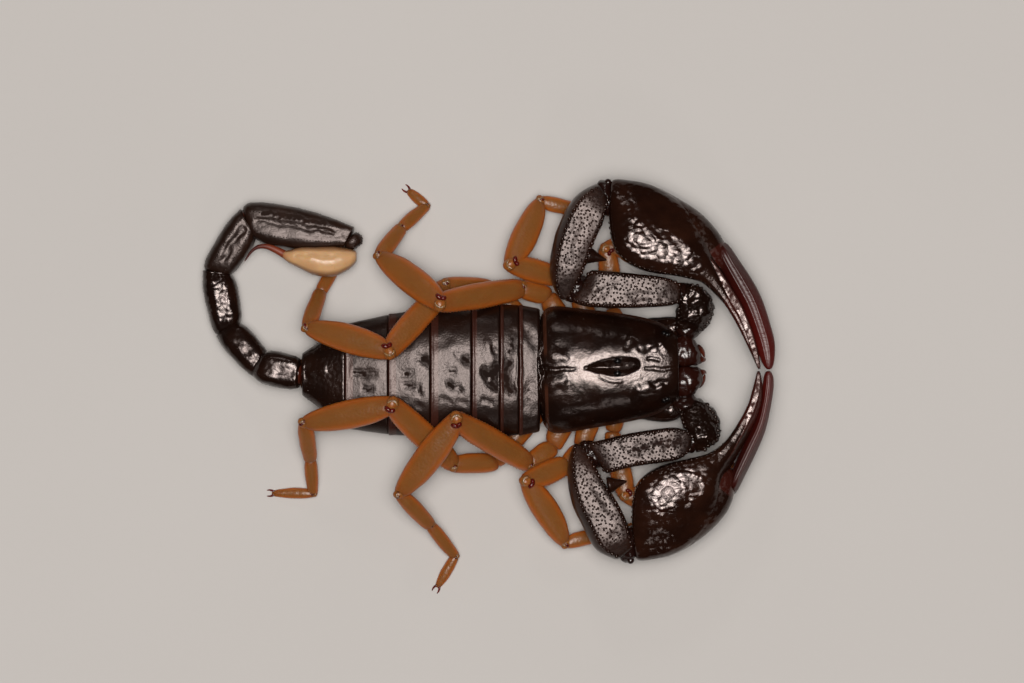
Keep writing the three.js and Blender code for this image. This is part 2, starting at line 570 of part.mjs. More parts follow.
const SPUR_PROFILES = [[[0, 0.8, 0.8], [1, 0.5, 0.5]], [[0, 0.45, 0.45], [1, 0.12, 0.12]]];

for (const [name, arm] of Object.entries(ARMS)) {
  const length = ({ outer, inner, levels }, options) => betweenEdges(outer, inner, levels, options);
  const spur = chainPiece(points(arm.spur), 0, SPUR_PROFILES, { sides: 6, power: 2 });
  addPart(`pedipalp_${name}_coxa`, length(arm.coxa, { sides: 10, between: 1 }), 'shell');
  addPart(`pedipalp_${name}_trochanter`, length(arm.trochanter, { sides: 10, between: 1 }), 'shell');
  addPart(`pedipalp_${name}_femur`, length(arm.femur, { sides: 12, power: 2.8 }), 'shell');
  const patella = length(arm.patella, { sides: 12, power: 2.6, between: 1 });
  addPart(`pedipalp_${name}_patella`, joined(patella, spur), 'shell');
  addPart(`pedipalp_${name}_chela`, length(arm.chela), 'shell');
  addPart(`pedipalp_${name}_finger`, length(arm.finger, { sides: 10, between: 1 }), 'finger');
}

// ---------------------------------------------------------------- placing

const box = new THREE.Box3().setFromObject(scorpion);
const middle = box.getCenter(new THREE.Vector3());
scorpion.position.set(-middle.x, -middle.y, -box.min.z);
scorpion.updateMatrixWorld(true);

export default scorpion;
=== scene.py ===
"""Looks of a small wood scorpion at rest: glossy shell plates, honey legs, a pale sting bulb, and its studio.

Lengths are millimetres from a datum on the floor under the middle of the head shield's hind edge: X runs to
the head, Y to the animal's left, Z up. Each finished piece is then brought to metres in the frame.
"""

import logging
import math
from collections.abc import Callable, Sequence
from dataclasses import dataclass, replace
from enum import Enum

import bmesh
import bpy
import numpy as np
from mathutils import Matrix, Vector


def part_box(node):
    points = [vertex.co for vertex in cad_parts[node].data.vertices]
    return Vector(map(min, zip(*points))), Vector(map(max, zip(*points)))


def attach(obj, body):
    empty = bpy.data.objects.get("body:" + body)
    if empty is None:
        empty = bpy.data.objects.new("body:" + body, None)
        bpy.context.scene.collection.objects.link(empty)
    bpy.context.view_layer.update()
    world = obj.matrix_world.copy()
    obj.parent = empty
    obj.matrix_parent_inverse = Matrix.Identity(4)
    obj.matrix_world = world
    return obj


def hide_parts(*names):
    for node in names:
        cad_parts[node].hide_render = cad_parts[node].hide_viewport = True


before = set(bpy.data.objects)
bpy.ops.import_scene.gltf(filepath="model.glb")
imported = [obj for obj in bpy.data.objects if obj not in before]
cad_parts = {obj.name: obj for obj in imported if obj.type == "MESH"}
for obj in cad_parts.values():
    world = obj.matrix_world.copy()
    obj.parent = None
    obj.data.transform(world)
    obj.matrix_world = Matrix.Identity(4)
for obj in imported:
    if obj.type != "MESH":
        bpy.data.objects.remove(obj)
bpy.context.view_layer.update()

LOG = logging.getLogger("scorpion")
MM = 0.001
UP = Vector((0.0, 0.0, 1.0))
TRUNK_FRONT = -0.11      # where the first trunk ring's front face lies from the datum
ABOVE_ALL = 20.0

Row = tuple[float, ...]
Rows = tuple[Row, ...]
Piece = bpy.types.Object
Material = bpy.types.Material
Node = bpy.types.Node
Socket = bpy.types.NodeSocket
Tree = bpy.types.NodeTree
Weight = Callable[[bpy.types.MeshVertex], float]


class Side(Enum):
    """The two sides of the animal, with the sign of Y on each."""

    LEFT = 1
    RIGHT = -1

    @property
    def word(self) -> str:
        """The side's name as the frame's nodes spell it."""
        return self.name.lower()


class Slot(Enum):
    """The material slots of the record."""

    SHELL = "shell"
    FINGER = "finger"
    LEG = "leg"
    UNDERSIDE = "underside"
    COMB = "comb"
    JAW = "jaw"
    EYE = "eye"
    TELSON = "telson"
    STING = "sting"


def through(rows: Sequence[Row], share: float) -> list[float]:
    """Finds a place on the smooth curve that runs through rows of numbers.

    Args:
        rows: The rows that the curve passes, in order.
        share: How far along the rows, from 0 to 1.

    Returns:
        The numbers at that place.
    """
    place = share * (len(rows) - 1)
    first = min(int(place), len(rows) - 2)
    t = place - first
    before, start, end, after = (rows[min(max(first + step, 0), len(rows) - 1)] for step in (-1, 0, 1, 2))
    result = []
    for a, b, c, d in zip(before, start, end, after):
        leave, arrive = (c - a) / 2, (d - b) / 2
        cubic = (2 * b - 2 * c + leave + arrive) * t**3
        result.append(cubic + (3 * c - 3 * b - 2 * leave - arrive) * t**2 + leave * t + b)
    return result


def spread(count: int, low: float = 0.0, high: float = 1.0) -> list[float]:
    """Equal steps from low to high."""
    return [low + (high - low) * i / (count - 1) for i in range(count)]


# ---- outlines and rows of rings


@dataclass(frozen=True)
class Keel:
    """A lengthwise ridge on an outline's point: how sharp it is, and the span that carries beads."""

    point: int
    crease: float = 0.6
    beads: tuple[float, float] | None = (0.0, 1.0)


@dataclass(frozen=True)
class Outline:
    """A body cut across: points (across, up), each from -1 to 1, in order round it."""

    points: Rows
    keels: tuple[Keel, ...] = ()


def both_sides(half: Sequence[Row]) -> Rows:
    """Mirrors half an outline, from its top point down to its bottom point."""
    return tuple(half) + tuple((-x, y) for x, y in reversed(half[1:-1]))


def rounded(count: int, power: float = 2.0, keels: tuple[Keel, ...] = ()) -> Outline:
    """An oval outline, or a squarer one.

    Args:
        count: How many points, from the top.
        power: 2 for an oval, more for a squarer shape.
        keels: Its keels.

    Returns:
        The outline.
    """
    def bulge(value: float) -> float:
        """Pushes a point of a circle outwards."""
        return math.copysign(abs(value) ** (2 / power), value)

    angles = (2 * math.pi * i / count for i in range(count))
    return Outline(tuple((bulge(math.sin(a)), bulge(math.cos(a))) for a in angles), keels)


def domed(
    flat: float, power: float, waist: float, groove: float = 0.0, keels: tuple[Keel, ...] = ()
) -> Outline:
    """An outline of 16 points with a flat top, round shoulders and a narrower belly.

    Args:
        flat: Half the flat top's width; it ends at points 2 and 14.
        power: 2 for round shoulders, more for squarer ones.
        waist: The height of the widest line.
        groove: How far the top's middle lies below its edges.
        keels: Its keels.

    Returns:
        The outline.
    """
    half = [(0.0, 1.0 - groove), (0.5 * flat, 1.0 - 0.25 * groove), (flat, 1.0)]
    for step in (1, 2, 3):
        turn = math.pi / 6 * step
        across, lift = (max(f(turn), 0.0) ** (2 / power) for f in (math.sin, math.cos))
        half.append((flat + (1 - flat) * across, waist + (1 - waist) * lift))
    half += [(0.88, waist - 0.5 * (1 + waist)), (0.5, waist - 0.87 * (1 + waist)), (0.0, -1.0)]
    return Outline(both_sides(half), keels)


@dataclass(frozen=True)
class Station:
    """One ring of a body: centre, axes (side, up, along), half sizes and share of the length."""

    centre: Vector
    axes: Matrix
    half_width: float
    half_depth: float
    share: float


Rings = tuple[Station, ...]


@dataclass(frozen=True)
class Ends:
    """How a body's ends close: the shares over which they round off, and the last ring's size."""

    start: float = 0.08
    end: float = 0.08
    least: float = 0.45

    def size(self, share: float) -> float:
        """The size of a ring beside a full one.

        Args:
            share: The ring's share of the length.

        Returns:
            A factor up to 1.
        """
        factor = 1.0
        for reach, depth in ((self.start, share), (self.end, 1 - share)):
            if reach > 0 and depth < reach:
                factor = math.sqrt(1 - (1 - depth / reach) ** 2)
        return self.least + (1 - self.least) * factor

    def shares(self, middle: int) -> list[float]:
        """Where the rings lie, close together at the ends.

        Args:
            middle: How many rings lie between the ends.

        Returns:
            Shares from 0 to 1.
        """
        start = [self.start * step for step in (0, 0.12, 0.45)] if self.start > 0 else [0.0]
        end = [1 - self.end * step for step in (0.45, 0.12, 0)] if self.end > 0 else [1.0]
        return start + spread(middle, max(self.start, 0.04), 1 - max(self.end, 0.04)) + end


@dataclass(frozen=True)
class Between:
    """A body between an outer and an inner edge seen from above, with rows of its top and bottom levels."""

    outer: Rows
    inner: Rows
    levels: Rows

    def station(self, share: float, size: float = 1.0) -> Station:
        """One ring of the body.

        Args:
            share: Its share of the length.
            size: Its size beside the full one.

        Returns:
            The ring.
        """
        outer, inner = (Vector((*through(rows, share), 0)) for rows in (self.outer, self.inner))
        top, bottom = through(self.levels, share)
        side = (outer - inner).normalized()
        centre = (outer + inner) / 2 + UP * (top + bottom) / 2
        axes = Matrix((side, UP, side.cross(UP))).transposed()
        return Station(centre, axes, (outer - inner).length / 2 * size, (top - bottom) / 2 * size, share)

    def stations(self, middle: int, ends: Ends) -> Rings:
        """The rings of the whole body."""
        return tuple(self.station(share, ends.size(share)) for share in ends.shares(middle))


def along_line(rows: Sequence[Row]) -> Between:
    """A body given by rows of x, middle, half width, top and bottom.

    Args:
        rows: The rows in order along X.

    Returns:
        The body between its left and its right edge.
    """
    left = tuple((x, middle + half) for x, middle, half, _, _ in rows)
    right = tuple((x, middle - half) for x, middle, half, _, _ in rows)
    return Between(left, right, tuple((top, bottom) for _, _, _, top, bottom in rows))


@dataclass(frozen=True)
class Chain:
    """A row of joints in space, with a body on each length between two of them."""

    joints: Rows
    slant: float = 0.6         # how far a length's end rings turn towards the face that it shares

    def point(self, joint: int) -> Vector:
        """The place of a joint."""
        return Vector(self.joints[joint])

    def face(self, joint: int) -> Vector:
        """The direction in which a joint's shared face looks.

        Args:
            joint: The joint's number.

        Returns:
            A unit vector along the chain.
        """
        normal = Vector()
        if joint > 0:
            normal += (self.point(joint) - self.point(joint - 1)).normalized()
        if joint < len(self.joints) - 1:
            normal += (self.point(joint + 1) - self.point(joint)).normalized()
        return normal.normalized()

    def station(self, first: int, share: float, width: float, depth: float) -> Station:
        """One ring on the length that starts at a joint.

        Args:
            first: The joint's number.
            share: Its share of the length, or a little beyond.
            width: The ring's full width.
            depth: The ring's full depth.

        Returns:
            The ring.
        """
        start, end = self.point(first), self.point(first + 1)
        near_end = self.face(first if share < 0.5 else first + 1)
        along = (end - start).normalized().lerp(near_end, self.slant * min(abs(2 * share - 1), 1) ** 2)
        along.normalize()
        side = UP.cross(along).normalized()
        axes = Matrix((side, along.cross(side), along)).transposed()
        return Station(start.lerp(end, share), axes, width / 2, depth / 2, share)

    def stations(self, first: int, profile: Sequence[Row], bulk: float = 1.0) -> Rings:
        """The rings on one length."""
        return tuple(self.station(first, s, width * bulk, depth * bulk) for s, width, depth in profile)

    def rings(self, sizes: Sequence[Row], start: float = 0.0, end: float = 1.0) -> Rings:
        """One ring at each joint.

        Args:
            sizes: The rings' widths and depths.
            start: The share that the first ring carries.
            end: The share that the last ring carries.

        Returns:
            The rings.
        """
        last = len(self.joints) - 1
        rings = (self.station(min(i, last - 1), float(i == last), *size) for i, size in enumerate(sizes))
        return tuple(replace(ring, share=share) for ring, share in zip(rings, spread(last + 1, start, end)))


@dataclass(frozen=True)
class Stroke:
    """A soft groove, ridge or dull patch seen from above: its height, below 0 for a groove, points
    (x, y, reach), how much duller the surface is there, and how unevenly it runs."""

    height: float
    line: Rows
    dull: float = 0.0
    wander: float = 1.0

    def weights(self, x: np.ndarray, y: np.ndarray) -> np.ndarray:
        """How strongly the stroke acts at each of many places.

        Args:
            x: The places along X.
            y: The places along Y.

        Returns:
            Weights from 0 to 1.
        """
        wave = 0.05 * np.array((np.sin(4.3 * y + 2.1 * x), np.sin(4.9 * x - 1.7 * y)))
        wave += 0.04 * np.array((np.sin(9.7 * y - 5.3 * x + 1), np.sin(10.9 * x + 4.1 * y)))
        x, y = x + wave[0] * self.wander, y + wave[1] * self.wander
        count = 12 * len(self.line)
        rows = [through(self.line, share) for share in spread(count)] if len(self.line) > 1 else self.line
        weight = np.zeros(len(x))
        for row_x, row_y, reach in rows:
            gap = ((x - row_x) ** 2 + (y - row_y) ** 2) / reach**2
            weight = np.maximum(weight, np.clip(1 - gap, 0, 1) ** 2)
        return weight


# ---- bench work


def clear() -> None:
    """Leaves edit mode and lets go of everything."""
    if bpy.context.object is not None and bpy.context.object.mode != "OBJECT":
        bpy.ops.object.mode_set(mode="OBJECT")
    bpy.ops.object.select_all(action="DESELECT")


def hold(piece: Piece) -> None:
    """Makes a piece the only one in hand.

    Args:
        piece: The piece.
    """
    clear()
    piece.select_set(True)
    bpy.context.view_layer.objects.active = piece


def edit(piece: Piece) -> None:
    """Takes a piece in hand in edit mode, with all of it selected.

    Args:
        piece: The piece.
    """
    hold(piece)
    bpy.ops.object.mode_set(mode="EDIT")
    bpy.ops.mesh.select_all(action="SELECT")


def pick(piece: Piece, wanted: Callable[[bmesh.types.BMVert], bool]) -> bool:
    """Selects points in edit mode.

    Args:
        piece: The piece in edit mode.
        wanted: Says of each point whether it is picked.

    Returns:
        Whether any point was picked.
    """
    bpy.ops.mesh.select_mode(type="VERT")
    bpy.ops.mesh.select_all(action="DESELECT")
    mesh = bmesh.from_edit_mesh(piece.data)
    picked = [vert for vert in mesh.verts if wanted(vert)]
    for vert in picked:
        vert.select = True
    mesh.select_flush(True)
    bmesh.update_edit_mesh(piece.data)
    return bool(picked)


def turn_about(change: Matrix, pivot: Vector) -> None:
    """Turns what is selected about a pivot, one axis after another.

    Args:
        change: The turn as a matrix.
        pivot: The fixed point.
    """
    for axis, angle in zip("XYZ", change.to_euler("XYZ")):
        if abs(angle) > 1e-7:
            bpy.ops.transform.rotate(value=-angle, orient_axis=axis, center_override=pivot)


def join(pieces: Sequence[Piece]) -> Piece:
    """Joins pieces into the first of them.

    Args:
        pieces: The pieces.

    Returns:
        The joined piece.
    """
    hold(pieces[0])
    for piece in pieces[1:]:
        piece.select_set(True)
    if len(pieces) > 1:
        bpy.ops.object.join()
    return pieces[0]


def modify(piece: Piece, kind: str, **settings: object) -> None:
    """Puts a modifier on a piece and applies it.

    Args:
        piece: The piece.
        kind: The modifier's type.
        settings: Its values.
    """
    hold(piece)
    modifier = piece.modifiers.new("work", kind)
    for key, value in settings.items():
        setattr(modifier, key, value)
    bpy.ops.object.modifier_apply(modifier=modifier.name)


def smooth(piece: Piece, levels: int = 2) -> None:
    """Rounds a piece by subdivision."""
    modify(piece, "SUBSURF", levels=levels, render_levels=levels)


def ripple(piece: Piece, size: float, height: float) -> None:
    """Moves a surface gently in and out by a cloud pattern.

    Args:
        piece: The piece.
        size: The size of its features.
        height: How far the surface moves in all.
    """
    texture = bpy.data.textures.new(f"{piece.name} ripple", "CLOUDS")
    texture.noise_scale = size
    modify(piece, "DISPLACE", texture=texture, texture_coords="LOCAL", strength=height, mid_level=0.5)
    bpy.data.textures.remove(texture)


def carve(piece: Piece, strokes: Sequence[Stroke]) -> None:
    """Raises, lowers and dulls the upper surface along soft strokes.

    Args:
        piece: The piece.
        strokes: The grooves, ridges, dimples and bumps.
    """
    verts = piece.data.vertices
    places, normals = np.empty(3 * len(verts)), np.empty(3 * len(verts))
    verts.foreach_get("co", places)
    verts.foreach_get("normal", normals)
    facing = np.clip(normals[2::3] * 3, 0, 1)
    weights = [stroke.weights(places[0::3], places[1::3]) for stroke in strokes]
    dull = np.clip(sum(stroke.dull * weight for stroke, weight in zip(strokes, weights)), -1, 1)
    layer = piece.data.attributes.get("dull") or piece.data.attributes.new("dull", "FLOAT", "POINT")
    layer.data.foreach_set("value", dull.astype(np.float32))
    change = facing * sum(stroke.height * weight for stroke, weight in zip(strokes, weights))
    for sign in (1, -1):
        part = np.clip(sign * change, 0, None)
        deepest = float(part.max())
        if deepest < 1e-6:
            continue
        group = piece.vertex_groups.new(name="stroke")
        for index in np.flatnonzero(part > 1e-5):
            group.add([int(index)], float(part[index]) / deepest, "REPLACE")
        strength = sign * deepest
        modify(piece, "DISPLACE", direction="Z", mid_level=0.0, strength=strength, vertex_group=group.name)
        piece.vertex_groups.clear()


def weigh(piece: Piece, name: str, wanted: Weight) -> None:
    """Gives each point a weight.

    Args:
        piece: The piece.
        name: The group's name.
        wanted: The weight of a point, from 0 to 1.
    """
    group = piece.vertex_groups.new(name=name)
    for vert in piece.data.vertices:
        weight = wanted(vert)
        if weight > 0:
            group.add([vert.index], min(weight, 1.0), "REPLACE")


def ball(name: str, place: Vector, radii: Row, turn: float = 0.0, rings: int = 8) -> Piece:
    """A small rounded lump, smooth all over.

    Args:
        name: Its name.
        place: Its centre.
        radii: Its three half sizes.
        turn: Its heading about Z in radians.
        rings: How many rings of faces it has.

    Returns:
        The lump.
    """
    clear()
    bpy.ops.mesh.primitive_uv_sphere_add(segments=2 * rings, ring_count=rings, radius=1.0)
    piece = bpy.context.object
    piece.name = name
    return move(piece, place, turn, radii)


def twin(piece: Piece, name: str) -> Piece:
    """A copy with its own mesh.

    Args:
        piece: What is copied.
        name: The copy's name.

    Returns:
        The copy.
    """
    hold(piece)
    bpy.ops.object.duplicate()
    result = bpy.context.object
    result.name = name
    return result


def move(piece: Piece, to: Vector, heading: float = 0.0, scale: Row = (1, 1, 1)) -> Piece:
    """Sizes a piece about the datum, turns it about Z, and moves it.

    Args:
        piece: The piece.
        to: Where its own zero goes.
        heading: The turn in radians.
        scale: Factors along its axes; a negative one mirrors it.

    Returns:
        The piece.
    """
    edit(piece)
    bpy.ops.transform.resize(value=scale, center_override=(0, 0, 0))
    turn_about(Matrix.Rotation(heading, 3, "Z"), Vector())
    bpy.ops.transform.translate(value=to)
    if scale[0] * scale[1] * scale[2] < 0:
        bpy.ops.mesh.normals_make_consistent(inside=False)
    clear()
    return piece


def label(piece: Piece, name: str, value: float) -> Piece:
    """Stores one number on all points of a piece.

    Args:
        piece: The piece.
        name: The number's name.
        value: The number.

    Returns:
        The piece.
    """
    layer = piece.data.attributes.get(name) or piece.data.attributes.new(name, "FLOAT", "POINT")
    for item in layer.data:
        item.value = value
    return piece


def on_floor(piece: Piece) -> Piece:
    """Presses flat what would dip below the floor.

    Args:
        piece: The piece, in millimetres.

    Returns:
        The piece.
    """
    edit(piece)
    if pick(piece, lambda vert: vert.co.z < 0):
        bpy.ops.transform.resize(value=(1, 1, 0), center_override=(0, 0, 0))
    clear()
    return piece


def level_at(piece: Piece, x: float, y: float) -> float:
    """The level of a piece's upper surface at one place seen from above.

    Args:
        piece: The piece, in millimetres.
        x: The place along X.
        y: The place along Y.

    Returns:
        The level.
    """
    clear()
    bpy.context.view_layer.update()
    return piece.ray_cast(Vector((x, y, ABOVE_ALL)), -UP)[1].z


@dataclass(frozen=True)
class Loft:
    """A closed skin over a row of rings: the first ring is drawn, and each next one is extruded from it."""

    outline: Outline
    stations: Rings

    def draw(self, name: str, zone: float = 0.0, levels: int = 2) -> Piece:
        """Makes the skin.

        Args:
            name: The piece's name.
            zone: Tells the finish which part of the body this is.
            levels: How many times its faces are divided.

        Returns:
            The piece, in millimetres from the datum.
        """
        clear()
        count = len(self.outline.points)
        bpy.ops.mesh.primitive_circle_add(vertices=count, radius=1.0, fill_type="NGON")
        piece = bpy.context.object
        piece.name = name
        edit(piece)
        starts = [vert.co.copy() for vert in bmesh.from_edit_mesh(piece.data).verts]
        for index, (across, lift) in enumerate(self.outline.points):
            pick(piece, lambda vert, index=index: vert.index == index)
            bpy.ops.transform.translate(value=Vector((across, lift, 0)) - starts[index])
        bpy.ops.mesh.select_all(action="SELECT")
        first = self.stations[0]
        bpy.ops.transform.resize(value=(first.half_width, first.half_depth, 1), center_override=(0, 0, 0))
        turn_about(first.axes, Vector())
        bpy.ops.transform.translate(value=first.centre)
        for last, station in zip(self.stations, self.stations[1:]):
            self._extend(last, station)
        bpy.ops.mesh.select_all(action="SELECT")
        bpy.ops.mesh.normals_make_consistent(inside=False)
        clear()
        self._measure(piece, zone)
        smooth(piece, levels)
        return piece

    def _extend(self, last: Station, station: Station) -> None:
        """Extrudes the ring in hand to the next station.

        Args:
            last: Where the ring is.
            station: Where the next one goes.
        """
        bpy.ops.mesh.extrude_region_move(TRANSFORM_OT_translate={"value": (0, 0, 0)})
        bpy.ops.transform.resize(
            value=(station.half_width / last.half_width, station.half_depth / last.half_depth, 1),
            orient_type="GLOBAL",
            orient_matrix=last.axes,
            orient_matrix_type="GLOBAL",
            center_override=last.centre,
        )
        turn_about(station.axes @ last.axes.transposed(), last.centre)
        bpy.ops.transform.translate(value=station.centre - last.centre)

    def _measure(self, piece: Piece, zone: float) -> None:
        """Stores on each point where it lies on the body, and marks the keels.

        Args:
            piece: The fresh skin.
            zone: The number of this part of the body.
        """
        mesh, count = piece.data, len(self.outline.points)
        keys = ("along", "across", "lift", "zone")
        for key in keys:
            mesh.attributes.new(key, "FLOAT", "POINT")
        for key in ("keel", "crease_edge"):
            mesh.attributes.new(key, "FLOAT", "EDGE")
        layers = {key: mesh.attributes[key] for key in (*keys, "keel", "crease_edge")}
        column = []
        for vert in mesh.vertices:
            station = self.stations[vert.index // count]
            offset = vert.co - station.centre
            across = offset.dot(station.axes.col[0]) / station.half_width
            lift = offset.dot(station.axes.col[1]) / station.half_depth
            for key, value in (("along", station.share), ("across", across), ("lift", lift), ("zone", zone)):
                layers[key].data[vert.index].value = value
            gaps = [(across - x) ** 2 + (lift - y) ** 2 for x, y in self.outline.points]
            column.append(gaps.index(min(gaps)))
        for edge in mesh.edges:
            low, high = sorted(edge.vertices)
            if low // count == high // count or column[low] != column[high]:
                continue
            share = (self.stations[low // count].share + self.stations[high // count].share) / 2
            for keel in self.outline.keels:
                if keel.point == column[low]:
                    layers["crease_edge"].data[edge.index].value = keel.crease
                    if keel.beads is not None and keel.beads[0] <= share <= keel.beads[1]:
                        layers["keel"].data[edge.index].value = 1.0


def add_node(tree: Tree, kind: str, settings: dict, inputs: dict) -> Node:
    """Adds a node to a tree.

    Args:
        tree: The tree.
        kind: The node's type.
        settings: Its own settings, which are set first.
        inputs: Values or links of its sockets.

    Returns:
        The node.
    """
    node = tree.nodes.new(kind)
    for key, value in settings.items():
        setattr(node, key, value)
    for key, value in inputs.items():
        if isinstance(value, Socket):
            tree.links.new(value, node.inputs[key])
        else:
            node.inputs[key].default_value = value
    return node


class Beads:
    """Small round grains: rows of them along marked keels, or strewn over an area."""

    SIDES, RINGS, FLATNESS = 7, 4, 0.65
    SMALLEST, LARGEST = 0.7, 1.15       # beside a bead of full size
    DENSITY = 400.0                     # grains to a square millimetre before they are thinned out

    def __init__(self) -> None:
        """Builds the two node groups once."""
        self._rows = self._group("bead rows", self._row_points)
        self._strewn = self._group("strewn beads", self._strewn_points)

    @staticmethod
    def _group(name: str, points: Callable[..., Socket]) -> Tree:
        """A node group that puts a bead on each of some points and joins them to the piece.

        Args:
            name: The group's name.
            points: Adds the nodes that find the points.

        Returns:
            The group.
        """
        tree = bpy.data.node_groups.new(name, "GeometryNodeTree")
        sockets = {"Geometry": "Geometry", "Spacing": "Float", "Radius": "Float", "Seed": "Int"}
        for key, kind in sockets.items():
            tree.interface.new_socket(key, in_out="INPUT", socket_type=f"NodeSocket{kind}")
        tree.interface.new_socket("Geometry", in_out="OUTPUT", socket_type="NodeSocketGeometry")
        given, result = tree.nodes.new("NodeGroupInput"), tree.nodes.new("NodeGroupOutput")
        whole, _, radius, seed = given.outputs[:4]
        round_one = {"Segments": Beads.SIDES, "Rings": Beads.RINGS, "Radius": radius}
        ball = add_node(tree, "GeometryNodeMeshUVSphere", {}, round_one)
        flat = {"Geometry": ball.outputs["Mesh"], "Scale": (1.0, 1.0, Beads.FLATNESS)}
        bead = add_node(tree, "GeometryNodeTransform", {}, flat)
        sizes = {2: Beads.SMALLEST, 3: Beads.LARGEST, "Seed": seed}
        size = add_node(tree, "FunctionNodeRandomValue", {"data_type": "FLOAT"}, sizes)
        wanted = {"Points": points(tree, given), "Instance": bead.outputs[0], "Scale": size.outputs[1]}
        placed = add_node(tree, "GeometryNodeInstanceOnPoints", {}, wanted)
        real = add_node(tree, "GeometryNodeRealizeInstances", {}, {"Geometry": placed.outputs[0]})
        label = {"Geometry": real.outputs[0], "Name": "bead", "Value": 1.0}
        on_points = {"data_type": "FLOAT", "domain": "POINT"}
        marked = add_node(tree, "GeometryNodeStoreNamedAttribute", on_points, label)
        joined = tree.nodes.new("GeometryNodeJoinGeometry")
        tree.links.new(whole, joined.inputs[0])
        tree.links.new(marked.outputs[0], joined.inputs[0])
        tree.links.new(joined.outputs[0], result.inputs[0])
        return tree

    @staticmethod
    def _row_points(tree: Tree, given: Node) -> Socket:
        """Evenly spaced points on the edges that are marked as keels.

        Args:
            tree: The group.
            given: The group's input node.

        Returns:
            The socket with the points.
        """
        keel = add_node(tree, "GeometryNodeInputNamedAttribute", {"data_type": "FLOAT"}, {"Name": "keel"})
        more = {"data_type": "FLOAT", "operation": "GREATER_THAN"}
        sharp = add_node(tree, "FunctionNodeCompare", more, {0: keel.outputs[0], 1: 0.5})
        edges = {"Mesh": given.outputs[0], "Selection": sharp.outputs[0]}
        line = add_node(tree, "GeometryNodeMeshToCurve", {}, edges)
        steps = {"Curve": line.outputs[0], "Length": given.outputs[1]}
        return add_node(tree, "GeometryNodeResampleCurve", {"mode": "LENGTH"}, steps).outputs[0]

    @staticmethod
    def _strewn_points(tree: Tree, given: Node) -> Socket:
        """Points strewn over the faces where the point group named grains has weight.

        Args:
            tree: The group.
            given: The group's input node.

        Returns:
            The socket with the points.
        """
        weight = add_node(tree, "GeometryNodeInputNamedAttribute", {"data_type": "FLOAT"}, {"Name": "grains"})
        faces = {"Mesh": given.outputs[0], "Distance Min": given.outputs[1], "Seed": given.outputs[3]}
        faces |= {"Density Max": Beads.DENSITY, "Density Factor": weight.outputs[0]}
        kind = "GeometryNodeDistributePointsOnFaces"
        return add_node(tree, kind, {"distribute_method": "POISSON"}, faces).outputs[0]

    def _apply(self, tree: Tree, piece: Piece, spacing: float, radius: float, seed: int) -> None:
        """Runs a node group on a piece and keeps its result.

        Args:
            tree: The group.
            piece: The piece.
            spacing: The distance between beads.
            radius: A bead's radius.
            seed: The seed of the beads' sizes and places.
        """
        hold(piece)
        modifier = piece.modifiers.new("beads", "NODES")
        modifier.node_group = tree
        for item in tree.interface.items_tree:
            if item.in_out == "INPUT" and item.name in ("Spacing", "Radius", "Seed"):
                modifier[item.identifier] = {"Spacing": spacing, "Radius": radius, "Seed": seed}[item.name]
        bpy.ops.object.modifier_apply(modifier=modifier.name)

    def row(self, piece: Piece, spacing: float, radius: float) -> None:
        """Sets beads along the piece's keels."""
        self._apply(self._rows, piece, spacing, radius, len(piece.name))

    def strew(self, piece: Piece, spacing: float, radius: float, wanted: Weight) -> None:
        """Strews beads over the places that are wanted."""
        weigh(piece, "grains", wanted)
        self._apply(self._strewn, piece, spacing, radius, len(piece.name))


# ---- finishes

Colour = tuple[float, float, float]
WARM_GLOSS = (1.0, 0.87, 0.83, 1.0)
SHELL_IOR = 1.46


class Value:
    """A number that varies over a surface. Arithmetic on it adds Math nodes."""

    def __init__(self, paint: "Paint", socket: Socket) -> None:
        """Wraps a socket of a finish's nodes."""
        self.paint = paint
        self.socket = socket

    def _math(self, operation: str, first: "Value | float", second: "Value | float") -> "Value":
        """Adds a Math node."""
        node = self.paint.node("ShaderNodeMath", {"operation": operation}, {0: first, 1: second})
        return Value(self.paint, node.outputs[0])

    def __add__(self, other: "Value | float") -> "Value":
        """The sum."""
        return self._math("ADD", self, other)

    __radd__ = __add__

    def __sub__(self, other: "Value | float") -> "Value":
        """The difference."""
        return self._math("SUBTRACT", self, other)

    def __rsub__(self, other: float) -> "Value":
        """The difference, the other way round."""
        return self._math("SUBTRACT", other, self)

    def __mul__(self, other: "Value | float") -> "Value":
        """The product."""
        return self._math("MULTIPLY", self, other)

    __rmul__ = __mul__

    def __abs__(self) -> "Value":
        """The number without its sign."""
        return self._math("ABSOLUTE", self, 0.0)

    def most(self, other: "Value | float") -> "Value":
        """The larger of two numbers."""
        return self._math("MAXIMUM", self, other)

    def step(self, low: float, high: float) -> "Value":
        """Rises smoothly from 0 at low to 1 at high, or falls where low is above high.

        Args:
            low: Where the result is 0.
            high: Where the result is 1.

        Returns:
            The result.
        """
        falls = low > high
        node = self.paint.node(
            "ShaderNodeMapRange",
            {"interpolation_type": "SMOOTHSTEP"},
            {"Value": self, "From Min": min(low, high), "From Max": max(low, high)},
        )
        result = Value(self.paint, node.outputs[0])
        return 1 - result if falls else result


